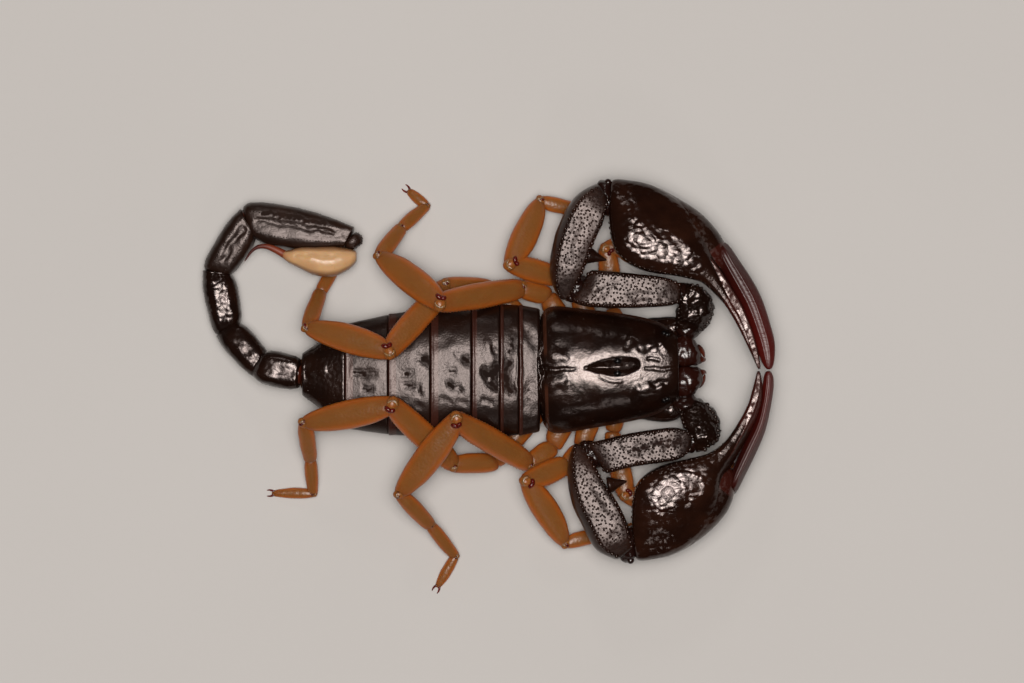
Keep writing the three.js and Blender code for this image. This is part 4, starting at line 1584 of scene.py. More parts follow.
MARKS: dict[int, Marks] = {
    0: (
        (-0.05, 0.4, ((0.3, 1.2, 0.4), (0.6, 1.7, 0.5))),
        (-0.05, 0.4, ((0.4, -0.7, 0.4), (0.5, -1.5, 0.6))),
        (0.03, -0.1, ((0.93, 1.0, 0.14), (0.93, -0.6, 0.14))),
    ),
    1: (
        (-0.04, 0.6, ((0.3, 1.6, 0.4), (0.3, 1.1, 0.3), (0.5, 0.75, 0.3))),
        (-0.06, 0.8, ((0.6, 0.3, 0.3), (0.7, -0.3, 0.4), (0.5, -0.9, 0.35))),
        (0.03, -0.1, ((0.06, 0.6, 0.14), (0.06, -0.9, 0.14))),
    ),
    2: (
        (-0.1, 0.9, ((0.08, 0.15, 0.35), (0.3, -0.25, 0.5), (0.5, -0.1, 0.3), (0.2, -0.8, 0.3))),
        (0.06, -0.8, ((0.38, -0.3, 0.16),)),
        (-0.06, 0.6, ((0.1, 0.75, 0.24), (0.25, 1.0, 0.2))),
        (0.03, 0.0, ((0.4, 1.1, 0.3),)),
        (-0.05, 0.2, ((0.55, -1.3, 0.16), (0.3, -1.45, 0.16))),
    ),
    3: RING_MARKS,
    4: RING_MARKS,
    5: (
        (-0.07, 0.8, ((0.3, 0.12, 0.16), (0.5, 0.08, 0.24), (0.75, 0.1, 0.16))),
        (-0.04, 0.7, ((0.35, -0.6, 0.16), (0.58, -0.55, 0.22))),
        (0.03, -0.2, ((0.28, -0.62, 0.14),)),
        (-0.03, 0.4, ((0.97, 0.3, 0.4), (0.97, 0.9, 0.4))),
    ),
    6: ((0.05, -0.2, ((0.55, 0.25, 0.4), (0.8, 0.1, 0.3))),),
}


@dataclass(frozen=True)
class Trunk:
    """The seven trunk rings: each a soft core under an overlapping back plate, with a belly plate below."""

    borders: Rows = (
        (-0.09, 0, 2.76, 3.38, 1.78),
        (-0.98, 0, 2.9, 3.4, 0.82),
        (-1.82, 0, 2.93, 3.42, 0.74),
        (-3.07, -0.02, 2.93, 3.42, 0.72),
        (-4.89, -0.09, 2.86, 3.38, 0.72),
        (-6.76, -0.2, 2.68, 3.26, 0.76),
        (-8.67, -0.27, 2.32, 3.1, 0.92),
        (-10.58, -0.18, 0.92, 2.6, 1.45),
    )
    front_rows: Rows = (      # distance from the front border, swell across, rise
        (-0.06, 0.97, -0.2), (-0.01, 0.985, -0.09), (0.02, 0.993, -0.03), (0.06, 0.997, 0.0),
        (0.15, 1.0, 0.0),
    )
    middle_rows: Rows = ((0.3, 1.0, 0.01), (0.45, 1.003, 0.012), (0.6, 1.004, 0.008), (0.74, 1.004, 0.0))
    rear_rows: Rows = (       # distance before the hind border, swell across, rise
        (0.17, 1.005, 0.0), (0.11, 1.01, 0.018), (0.05, 1.012, 0.024), (0.012, 1.01, -0.015),
        (-0.01, 0.99, -0.11),
    )
    core_rows: Rows = (       # share of the ring, swell across, rise
        (-0.03, 0.7, -0.5), (0.0, 0.9, -0.3), (0.3, 0.955, -0.2), (0.7, 0.955, -0.2), (1.0, 0.9, -0.3),
        (1.03, 0.7, -0.5),
    )
    core_lift: float = 0.35   # how far the core's underside lies above the belly plate's

    def _at(self, ring: int, share: float) -> Row:
        """The trunk's sizes at a share of one ring."""
        return tuple(a + (b - a) * share for a, b in zip(self.borders[ring], self.borders[ring + 1]))

    def _rows(self, ring: int) -> list[Row]:
        """The rows of one ring's plate.

        Args:
            ring: The ring's number from 0.

        Returns:
            Rows of share, swell and rise.
        """
        length = self.borders[ring][0] - self.borders[ring + 1][0]
        front = [(distance / length, swell, rise) for distance, swell, rise in self.front_rows]
        rear = [(1 - distance / length, swell, rise) for distance, swell, rise in self.rear_rows]
        return front + [row for row in self.middle_rows if front[-1][0] < row[0] < rear[0][0]] + rear

    def _shell(self, ring: int, outline: Outline, rows: Sequence[Row], name: str, zone: float) -> Piece:
        """A plate or core of one ring.

        Args:
            ring: The ring's number from 0.
            outline: Its section.
            rows: Rows of share, swell and rise.
            name: Its name.
            zone: The number of its part of the body.

        Returns:
            The piece.
        """
        line = []
        for share, swell, rise in rows:
            x, middle, half, top, bottom = self._at(ring, share)
            if ring == 0:
                bottom = self.borders[0][4]
            line.append((x, middle, half * swell, top + rise, bottom + (self.core_lift if zone else 0.0)))
        body = along_line(line)
        places = zip(spread(len(line)), rows)
        stations = tuple(replace(body.station(place), share=row[0]) for place, row in places)
        return Loft(outline, stations).draw(name, zone)

    def build(self, kit: Kit) -> None:
        """Makes the rings from the head back.
        """
        for ring in range(len(self.borders) - 1):
            name = f"mesosoma_{ring + 1}"
            rows = self._rows(ring)
            plate = self._shell(ring, TERGITE, rows, f"{name}_shell", 0.0)
            self._sculpt(plate, ring)
            belly = self._shell(ring, STERNITE, rows, "belly", 0.0)
            core = self._shell(ring, rounded(20, 2.35), self.core_rows, "core", 1.0)
            ripple(core, 0.3, 0.14)
            if ring == 6:
                kit.beads.strew(plate, 0.16, 0.03, lambda vert: 0.35 if vert.normal.z > 0.2 else 0.0)
            kit.hand_in(join([plate, belly, core]), "last_ring" if ring == 6 else "back", Slot.SHELL, name)

    def _sculpt(self, plate: Piece, ring: int) -> None:
        """Carves the slit, the dimples and the bumps of a back plate.

        Args:
            plate: The plate.
            ring: Its number from 0.
        """
        ripple(plate, 0.8, 0.03)
        strokes = []
        for height, dull, line in MARKS.get(ring, ()):
            spots = [(*self._at(ring, share)[:2], aside, reach) for share, aside, reach in line]
            places = tuple((x, middle + aside, reach) for x, middle, aside, reach in spots)
            strokes.append(Stroke(height, places, dull))
        if strokes:
            carve(plate, strokes)


# ---- head


HEAD_YAW = 0.026


@dataclass(frozen=True)
class HeadShield:
    """The head shield with its furrows, rims and eye mound, and the eyes that sit on it."""

    rows: Rows = (
        (-0.2, 0, 1.35, 3.36, 2.2),
        (-0.12, 0, 1.75, 3.43, 2.15),
        (-0.02, 0, 2.15, 3.42, 2.1),
        (0.12, 0, 2.5, 3.45, 2.05),
        (0.35, 0, 2.72, 3.5, 1.98),
        (0.8, 0, 2.79, 3.56, 1.95),
        (1.8, 0, 2.66, 3.61, 1.95),
        (3.4, 0, 2.43, 3.62, 1.97),
        (4.5, 0, 2.22, 3.59, 2.0),
        (5.35, 0, 1.93, 3.54, 2.05),
        (5.85, 0, 1.62, 3.46, 2.13),
        (6.09, 0, 1.42, 3.32, 2.2),
    )
    outline: Outline = Outline(
        both_sides(
            ((0, 1), (0.2, 0.995), (0.36, 0.965), (0.5, 0.86), (0.66, 0.64), (0.82, 0.28), (0.93, -0.15),
             (0.98, -0.5), (1.015, -0.62), (1.0, -0.75), (0.85, -1), (0, -1))
        )
    )
    strokes: tuple[Stroke, ...] = (
        Stroke(0.04, (
            (-0.06, 2.0, 0.1), (-0.1, 1.0, 0.1), (-0.11, 0.1, 0.1), (-0.1, -0.9, 0.1), (-0.06, -1.9, 0.1),
        )),
        Stroke(-0.05, ((0.12, 1.9, 0.14), (0.04, 1.1, 0.14), (0.02, 0.5, 0.12), (0.12, 0.14, 0.14))),
        Stroke(-0.05, ((0.12, -1.8, 0.14), (0.04, -1.0, 0.14), (0.02, -0.4, 0.12), (0.12, -0.05, 0.14))),
        Stroke(-0.1, ((0.14, 0.04, 0.26),), 0.2, 0.2),
        Stroke(0.05, ((0.42, 0.75, 0.5), (0.9, 0.6, 0.4))),
        Stroke(0.05, ((0.4, -0.6, 0.5), (0.9, -0.5, 0.4))),
        Stroke(-0.05, ((0.2, 0.04, 0.2), (0.7, 0.02, 0.13), (1.3, 0.06, 0.07), (1.7, 0.08, 0.03)), 0.1, 0.2),
        Stroke(0.2, ((2.2, 0.11, 0.14), (2.9, 0.14, 0.38), (3.5, 0.17, 0.46), (4.1, 0.26, 0.28)), 0.6, 0.1),
        Stroke(0.05, ((1.9, 0.09, 0.06), (2.6, 0.12, 0.12), (3.0, 0.13, 0.12)), -1.0, 0.2),
        Stroke(0.08, ((3.2, 0.13, 0.26), (3.45, 0.14, 0.28)), 0.0, 0.1),
        Stroke(0.0, ((3.25, 0.13, 0.13), (3.4, 0.14, 0.13)), -1.0, 0.1),
        Stroke(0.02, ((2.6, -0.26, 0.12), (3.05, -0.46, 0.14), (3.5, -0.5, 0.14)), -0.2, 0.3),
        Stroke(-0.03, ((4.7, 0.5, 0.12), (5.2, 0.46, 0.14)), 0.3, 0.5),
        Stroke(-0.03, ((4.6, 0.08, 0.1), (5.2, 0.05, 0.16), (5.95, 0.1, 0.12)), 0.4, 0.3),
        Stroke(-0.035, ((0.9, 1.15, 0.7), (2.1, 1.25, 0.7)), 0.2),
        Stroke(-0.035, ((1.2, -1.0, 0.6), (2.2, -1.1, 0.6)), 0.2),
        Stroke(-0.03, ((3.7, 0.95, 0.25), (4.1, 1.15, 0.3)), 0.3),
        Stroke(0.12, ((4.3, 1.3, 0.6), (5.3, 1.2, 0.55)), -0.2),
        Stroke(0.11, ((4.4, -1.05, 0.6), (5.3, -1.0, 0.55)), -0.2),
        Stroke(-0.03, ((4.95, 0.95, 0.2), (5.2, 1.0, 0.2)), 0.4),
        Stroke(-0.03, ((5.0, -0.6, 0.16), (5.4, -0.5, 0.2)), 0.4),
    )
    middle_eye: Row = (3.36, 0.135, 0.27, 0.04, 0.14, 0.13)    # x, middle, aside, rise, half sizes
    side_eyes: Rows = ((5.56, 0.15, 1.42, 0.03, 0.1, 0.1), (5.42, 0.15, 1.48, 0.03, 0.1, 0.1))
    bare_strip: Row = (0.1, 1.1)       # the strip without grains: its middle and half width
    front: float = 2.5                 # where the part with more grains starts
    grains: Row = (0.28, 0.08)         # how thickly they lie in front and behind

    def build(self, kit: Kit) -> None:
        """Makes the shield and its eyes.
        """
        body = along_line(self.rows)
        stations = tuple(body.station(share) for share in spread(3 * len(self.rows) - 2))
        shield = Loft(self.outline, stations).draw("carapace_shell", levels=3)
        move(shield, Vector(), HEAD_YAW)
        ripple(shield, 0.5, 0.02)
        carve(shield, self.strokes)
        self._eyes(kit, shield)
        kit.beads.strew(shield, 0.16, 0.024, self._grained)
        kit.hand_in(shield, "head", Slot.SHELL, "carapace")

    def _grained(self, vert: bpy.types.MeshVertex) -> float:
        """How thickly the flanks and the front carry fine grains.

        Args:
            vert: A point of the shield.

        Returns:
            From 0 to 1.
        """
        middle, half_width = self.bare_strip
        if vert.normal.z < 0.2 or abs(vert.co.y - middle) < half_width:
            return 0.0
        return self.grains[0] if vert.co.x > self.front else self.grains[1]

    def _eyes(self, kit: Kit, shield: Piece) -> None:
        """Makes the two middle eyes and the two pairs of side eyes.

        Args:
            shield: What they sit on.
        """
        model = self._eye()
        for side in Side:
            name = f"eye_median_{side.word}"
            eye = self._seat(shield, model, f"{name}_bead", side, self.middle_eye)
            kit.hand_in(eye, "eye", Slot.EYE, name)
            name = f"eyes_lateral_{side.word}"
            eyes = [self._seat(shield, model, f"{name}_beads", side, spot) for spot in self.side_eyes]
            kit.hand_in(join(eyes), "eye", Slot.EYE, name)
        bpy.data.objects.remove(model)

    @staticmethod
    def _seat(shield: Piece, model: Piece, name: str, side: Side, spot: Row) -> Piece:
        """Sets one eye on the shield.

        Args:
            shield: What it sits on.
            model: The model of an eye.
            name: The eye's name.
            side: Its side.
            spot: Its place and size, as in middle_eye.

        Returns:
            The eye.
        """
        x, middle, aside, rise, half_length, half_width = spot
        y = middle + side.value * aside
        place = Vector((x, y, level_at(shield, x, y) + rise))
        return move(twin(model, name), place, 0.0, (half_length, half_width, half_width))

    @staticmethod
    def _eye() -> Piece:
        """One eye of radius 1: a clear dome in a low socket rim.

        Returns:
            The eye, as a model for the others.
        """
        piece = ball("eye model", Vector(), (1, 1, 1), 0.0, 8)
        edit(piece)
        pick(piece, lambda vert: vert.co.z < 0.1)
        bpy.ops.transform.resize(value=(1.28, 1.28, 1), center_override=(0, 0, 0))
        smooth(piece, 1)
        return piece


@dataclass(frozen=True)
class Jaw:
    """One short jaw with its two small fingers."""

    side: Side
    outer: Rows = ((5.8, 1.34), (6.25, 1.4), (6.6, 1.32), (6.9, 1.08), (7.08, 0.8))
    inner: Rows = ((5.8, -0.02), (6.25, -0.04), (6.65, -0.03), (6.95, 0.02), (7.18, 0.1))
    levels: Rows = ((2.95, 1.9), (3.04, 1.85), (3.0, 1.8), (2.85, 1.8), (2.6, 1.8))
    fingers: tuple[Rows, ...] = (
        ((6.85, 0.86, 2.4), (7.05, 0.76, 2.34), (7.2, 0.58, 2.2), (7.24, 0.36, 2.05)),
        ((6.9, 0.34, 2.45), (7.12, 0.28, 2.38), (7.24, 0.26, 2.24), (7.28, 0.36, 2.08)),
    )

    def build(self, kit: Kit) -> None:
        """Makes the jaw.
        """
        hand = self.side.value
        outer = tuple((x, hand * y) for x, y in self.outer)
        inner = tuple((x, hand * y) for x, y in self.inner)
        name = f"chelicera_{self.side.word}"
        outline = rounded(12, 2.1)
        stations = Between(outer, inner, self.levels).stations(8, Ends(0.06, 0.3, 0.5))
        body = Loft(outline, stations).draw(f"{name}_jaw")
        pieces = [body]
        for line in self.fingers:
            chain = Chain(tuple((x, hand * y, z) for x, y, z in line), 1.0)
            rings = chain.rings([(size, size) for size in (0.42, 0.34, 0.2, 0.06)], 1.0, 2.0)
            pieces.append(Loft(rounded(8), rings).draw("jaw finger"))
        ripple(body, 0.4, 0.18)
        kit.hand_in(move(join(pieces), Vector(), HEAD_YAW), "jaw", Slot.JAW, name)


# ---- underside


@dataclass(frozen=True)
class Breast:
    """The breast plates, grown together with the eight hips."""

    rows: Rows = (
        (3.92, 0, 0.9, 1.7, 0.75),
        (3.0, 0, 1.25, 1.75, 0.6),
        (1.2, 0, 1.35, 1.75, 0.58),
        (-0.93, 0, 1.2, 1.72, 0.62),
    )

    def build(self, kit: Kit, hips: Sequence[Piece]) -> None:
        """Makes the plates and joins the hips to them.

        Args:
            hips: The hips of the eight legs.
        """
        plate = Loft(rounded(14, 2.6), along_line(self.rows).stations(9, Ends(0.08, 0.08, 0.5)))
        body = plate.draw("coxosternum_plate")
        ripple(body, 0.6, 0.12)
        kit.hand_in(join([body, *hips]), "leg", Slot.UNDERSIDE, "coxosternum")


@dataclass(frozen=True)
class Comb:
    """One comb under the belly: a stem with seven blunt teeth on its hind edge."""

    side: Side
    root: Row = (-1.05, 0.3)
    tip: Row = (-2.45, 1.95)
    width: float = 0.34
    teeth: int = 7
    tooth: Rows = (
        (0.0, 0.1, 0.12), (0.15, 0.14, 0.15), (0.6, 0.125, 0.15), (0.9, 0.11, 0.13), (1.0, 0.05, 0.06),
    )

    def build(self, kit: Kit) -> None:
        """Makes the comb.
        """
        root, tip = Vector(self.root), Vector(self.tip)
        length, heading = (tip - root).length, math.atan2(tip.y - root.y, tip.x - root.x)
        half = self.width / 2
        levels = ((0.68, 0.4), (0.68, 0.38), (0.66, 0.42))
        front = ((0.0, -half), (length / 2, -half), (length, -half / 2))
        back = ((0.0, half), (length / 2, half), (length, half / 2))
        stem = Between(back, front, levels).stations(6, Ends(0.06, 0.08))
        pieces = [Loft(rounded(10, 2.6), stem).draw("stem", levels=1)]
        line = Chain(((0.0, 0.0, 0.5), (0.02, half + 0.42, 0.5)), 0.0)
        model = Loft(rounded(8), line.stations(0, self.tooth)).draw("tooth", levels=1)
        for place in spread(self.teeth, 0.7 / self.teeth, 1 - 0.3 / self.teeth):
            pieces.append(move(twin(model, "tooth"), Vector((length * place, 0, 0))))
        bpy.data.objects.remove(model)
        comb = join(pieces)
        comb.name = f"pecten_{self.side.word}_comb"
        move(comb, Vector((*self.root, 0)), heading)
        move(comb, Vector(), 0.0, (1, self.side.value, 1))
        kit.hand_in(comb, "comb", Slot.COMB, f"pecten_{self.side.word}")


# ---- legs


@dataclass(frozen=True)
class Leg:
    """One walking leg by its joints: hip root, hip end, trochanter end, knee, patella end, tibia end,
    basitarsus end and foot tip. Its profiles are rows of share, width and depth."""

    name: str
    joints: Rows
    bulk: float
    knuckle_in: float = 0.45
    claw_size: float = 0.72
    cap: Row = (0.66, 0.84, 0.66)                      # this and the next three beside the knee's half width
    fold: Row = (0.16, 0.34, 0.4, 0.42, 0.3, 0.12)
    fold_reach: float = 0.52
    knuckle: Row = (0.46, 0.26, 0.26)
    hip_rows: Rows = (
        (0, 0.9, 0.85), (0.3, 1.04, 0.9), (0.6, 1.1, 0.95), (0.9, 0.98, 0.85), (1, 0.75, 0.64),
    )
    trochanter_rows: Rows = (
        (-0.08, 0.5, 0.45), (0.0, 0.8, 0.66), (0.2, 0.92, 0.74), (0.45, 0.96, 0.76), (0.8, 0.9, 0.72),
        (1.0, 0.84, 0.66), (1.1, 0.5, 0.4),
    )
    femur_rows: Rows = (
        (-0.03, 0.5, 0.4), (0.0, 0.8, 0.64), (0.06, 0.95, 0.72), (0.15, 1.06, 0.76), (0.35, 1.15, 0.79),
        (0.55, 1.19, 0.8), (0.75, 1.14, 0.78), (0.88, 1.06, 0.75), (0.95, 1.0, 0.73), (1.0, 0.9, 0.68),
        (1.03, 0.72, 0.55), (1.05, 0.4, 0.32),
    )
    patella_rows: Rows = (
        (-0.05, 0.4, 0.32), (-0.03, 0.72, 0.56), (0.0, 0.88, 0.66), (0.05, 1.0, 0.72), (0.13, 1.15, 0.8),
        (0.28, 1.3, 0.88), (0.45, 1.36, 0.92), (0.65, 1.28, 0.88), (0.82, 1.1, 0.8), (0.93, 0.84, 0.66),
        (0.975, 0.7, 0.56), (1.0, 0.45, 0.36),
    )
    tibia_rows: Rows = (
        (-0.03, 0.4, 0.32), (0.02, 0.6, 0.48), (0.12, 0.72, 0.56), (0.3, 0.8, 0.62), (0.65, 0.75, 0.58),
        (0.9, 0.66, 0.53), (0.97, 0.62, 0.5), (1.01, 0.42, 0.34),
    )
    instep_rows: Rows = (
        (-0.04, 0.36, 0.3), (0.02, 0.55, 0.46), (0.2, 0.62, 0.52), (0.5, 0.62, 0.52), (0.85, 0.54, 0.46),
        (0.97, 0.5, 0.43), (1.03, 0.32, 0.28),
    )
    foot_rows: Rows = (
        (-0.05, 0.3, 0.28), (0.03, 0.44, 0.41), (0.3, 0.51, 0.44), (0.6, 0.5, 0.42), (0.88, 0.38, 0.34),
        (1.0, 0.28, 0.26), (1.06, 0.14, 0.14),
    )

    def hip(self) -> Piece:
        """Makes the hip, which belongs to the breast plates.

        Returns:
            The hip.
        """
        piece = Loft(rounded(12, 2.3), Chain(self.joints).stations(0, self.hip_rows, self.bulk)).draw("hip")
        ripple(piece, 0.5, 0.08)
        return piece

    def build(self, kit: Kit, claw: Piece) -> None:
        """Makes the leg's three pieces.

        Args:
            claw: The model of a claw, which is copied.
        """
        chain = Chain(self.joints)
        oval = rounded(12, 2.2)
        toothed = rounded(12, 2.2, (Keel(3, 0.25, (0.1, 0.96)), Keel(9, 0.25, (0.1, 0.96))))
        trochanter = self._length(chain, 1, self.trochanter_rows, oval)
        femur = self._length(chain, 2, self.femur_rows, toothed)
        kit.beads.row(femur, 0.16, 0.026)
        upper = join([femur, trochanter, *self._knee(chain, 2, 0.74), *self._knee(chain, 3, 0.9)])
        self._hand_in(kit, upper, "femur")
        patella = self._length(chain, 3, self.patella_rows, oval)
        self._hand_in(kit, join([patella, *self._knee(chain, 4, 0.66)]), "patella")
        lower = [
            self._length(chain, first, rows, oval)
            for first, rows in ((4, self.tibia_rows), (5, self.instep_rows), (6, self.foot_rows))
        ]
        lower += self._knee(chain, 5, 0.5) + self._knee(chain, 6, 0.42) + self._claws(chain, claw)
        self._hand_in(kit, on_floor(join(lower)), "tarsus")

    def _hand_in(self, kit: Kit, piece: Piece, part: str) -> None:
        """Fits one of the leg's pieces."""
        piece.name = f"{self.name}_{part}_skin"
        kit.hand_in(piece, "leg", Slot.LEG, f"{self.name}_{part}")

    def _length(self, chain: Chain, first: int, rows: Sequence[Row], outline: Outline) -> Piece:
        """One rounded length of the leg.

        Args:
            chain: The leg's joints.
            first: The joint at which it starts.
            rows: Its profile.
            outline: Its section.

        Returns:
            The piece.
        """
        piece = Loft(outline, chain.stations(first, rows, self.bulk)).draw("length")
        ripple(piece, 0.8, 0.05)
        return piece

    def _knee(self, chain: Chain, joint: int, size: float) -> list[Piece]:
        """The pale crescent fold of a joint and the dark red knuckles beside it.

        Args:
            chain: The leg's joints.
            joint: The joint's number.
            size: Its width beside a leg of full bulk.

        Returns:
            The pieces.
        """
        place, radius = chain.point(joint), 0.5 * size * self.bulk
        along = Vector((*chain.face(joint).xy, 0)).normalized()
        bend = (chain.point(joint + 1) - place).normalized() + (chain.point(joint - 1) - place).normalized()
        inside = Vector((bend.x, bend.y, 0)).normalized()
        heading = math.atan2(along.y, along.x)
        top = place + UP * (0.34 * radius) - inside * (0.22 * radius)
        cap = ball("cap", top, tuple(part * radius for part in self.cap), heading)
        smooth(cap, 1)
        ripple(cap, 0.3, 0.06)
        # lift 0.8 gives the cap mostly the paler top colour of the leg's painted rim light
        label(label(cap, "lift", 0.8), "along", 0.5)
        arc = []
        for turn in spread(6, -1.35, 1.35):
            aside = -inside * math.cos(turn) + along * math.sin(turn)
            level = (0.86 - 0.08 * math.cos(turn)) * radius
            arc.append(tuple(place + aside * (self.fold_reach * radius) + UP * level))
        sizes = [(part * radius, part * radius) for part in self.fold]
        fold = Loft(rounded(8), Chain(tuple(arc), 1.0).rings(sizes)).draw("fold", 2.0, 1)
        ripple(fold, 0.2, 0.06)
        pieces = [cap, fold]
        out = self.knuckle_in if joint == 3 else -0.25
        for hand, share in ((1, 1.0), (-1, 0.7)):
            shift = inside * (out * radius) + along * (hand * 0.2 * radius)
            wide, deep, high = (part * radius for part in self.knuckle)
            lump = (wide * share, deep, high)
            knuckle = ball("knuckle", place + shift + UP * (0.74 * radius), lump, heading - 0.5 * hand, 6)
            pieces.append(label(knuckle, "zone", 1.0))
        return pieces

    def _claws(self, chain: Chain, claw: Piece) -> list[Piece]:
        """The two claws that spread from the foot's tip.

        Args:
            chain: The leg's joints.
            claw: The model of a claw along X.

        Returns:
            The claws.
        """
        ankle, tip = chain.point(6), chain.point(7)
        heading = math.atan2(tip.y - ankle.y, tip.x - ankle.x)
        back = (tip - ankle).normalized() * 0.12
        root = Vector((tip.x - back.x, tip.y - back.y, 0))
        size = self.claw_size
        return [
            move(twin(claw, "claw"), root, heading + hand * 0.5, (size, hand * size, size))
            for hand in (1, -1)
        ]


@dataclass(frozen=True)
class Claw:
    """The model of a foot's claw: it leaves the foot along X and bends down and inwards to a point."""

    joints: Rows = (
        (0, 0, 0.12), (0.2, 0.02, 0.17), (0.4, 0.0, 0.15), (0.54, -0.07, 0.09), (0.62, -0.15, 0.05),
    )
    sizes: tuple[float, ...] = (0.19, 0.17, 0.13, 0.09, 0.04)

    def build(self) -> Piece:
        """Makes the claw.

        Returns:
            The claw, as a model for the others.
        """
        rings = Chain(self.joints, 1.0).rings([(size, size) for size in self.sizes])
        piece = Loft(rounded(8), rings).draw("claw model", levels=1)
        return label(piece, "zone", 1.0)


LEGS = (
    Leg("leg_1_left", (
        (3.7, 0.7, 1.1), (3.16, 2.76, 0.85), (3.16, 3.29, 0.82), (2.93, 5.33, 1.0),
        (5.07, 5.78, 0.62), (6.36, 5.42, 0.45), (7.2, 4.76, 0.24), (7.91, 3.96, 0.06),
    ), 0.82),
    Leg("leg_2_left", (
        (2.7, 0.7, 1.1), (1.6, 3.45, 1.1), (0.8, 4.08, 1.3), (-1.29, 4.71, 2.45),
        (0.0, 7.47, 1.0), (1.73, 7.07, 0.68), (3.11, 7.29, 0.26), (4.53, 7.42, 0.06),
    ), 0.92),
    Leg("leg_3_left", (
        (1.7, 0.7, 1.1), (0.25, 3.3, 1.05), (-0.85, 3.6, 1.7), (-4.44, 3.0, 4.15),
        (-7.11, 5.07, 2.3), (-6.18, 6.31, 1.2), (-5.11, 7.29, 0.27), (-5.87, 7.95, 0.06),
    ), 1.0),
    Leg("leg_4_left", (
        (0.7, 0.7, 1.1), (-2.3, 3.64, 1.3), (-4.2, 3.72, 2.5), (-6.71, 0.89, 4.2),
        (-10.31, 1.91, 2.75), (-9.78, 3.47, 1.0), (-9.11, 4.67, 0.28), (-8.6, 5.45, 0.06),
    ), 1.0),
    Leg("leg_1_right", (
        (3.7, -0.7, 1.1), (3.16, -2.76, 0.85), (3.24, -3.29, 0.82), (3.78, -5.51, 1.0),
        (5.82, -6.0, 0.62), (7.07, -5.42, 0.45), (7.82, -4.8, 0.24), (8.53, -4.13, 0.06),
    ), 0.82),
    Leg("leg_2_right", (
        (2.7, -0.7, 1.1), (1.75, -3.5, 1.1), (1.15, -4.15, 1.4), (-0.58, -4.93, 2.5),
        (1.11, -7.64, 1.0), (2.84, -7.24, 0.68), (4.22, -6.98, 0.26), (5.64, -7.02, 0.06),
    ), 0.92),
    Leg("leg_3_right", (
        (1.7, -0.7, 1.1), (0.49, -3.42, 1.05), (-0.5, -4.12, 1.6), (-3.73, -2.22, 4.2),
        (-6.22, -5.47, 2.8), (-4.89, -6.89, 1.35), (-3.82, -8.27, 0.28), (-4.58, -9.6, 0.06),
    ), 1.0),
    Leg("leg_4_right", (
        (0.7, -0.7, 1.1), (-2.09, -4.09, 1.1), (-3.85, -4.15, 2.0), (-6.58, -1.56, 4.2),
        (-10.44, -2.36, 2.75), (-10.22, -4.0, 1.2), (-10.13, -5.47, 0.28), (-11.87, -5.47, 0.06),
    ), 1.0),
)


# ---- tail


def tail_outline(flat: float, groove: float, crease: float) -> Outline:
    """A tail ring's section, with fine grains along the edges of its flat top."""
    return domed(flat, 2.3, 0.12, groove, tuple(Keel(point, crease, (0.05, 0.95)) for point in (2, 14)))


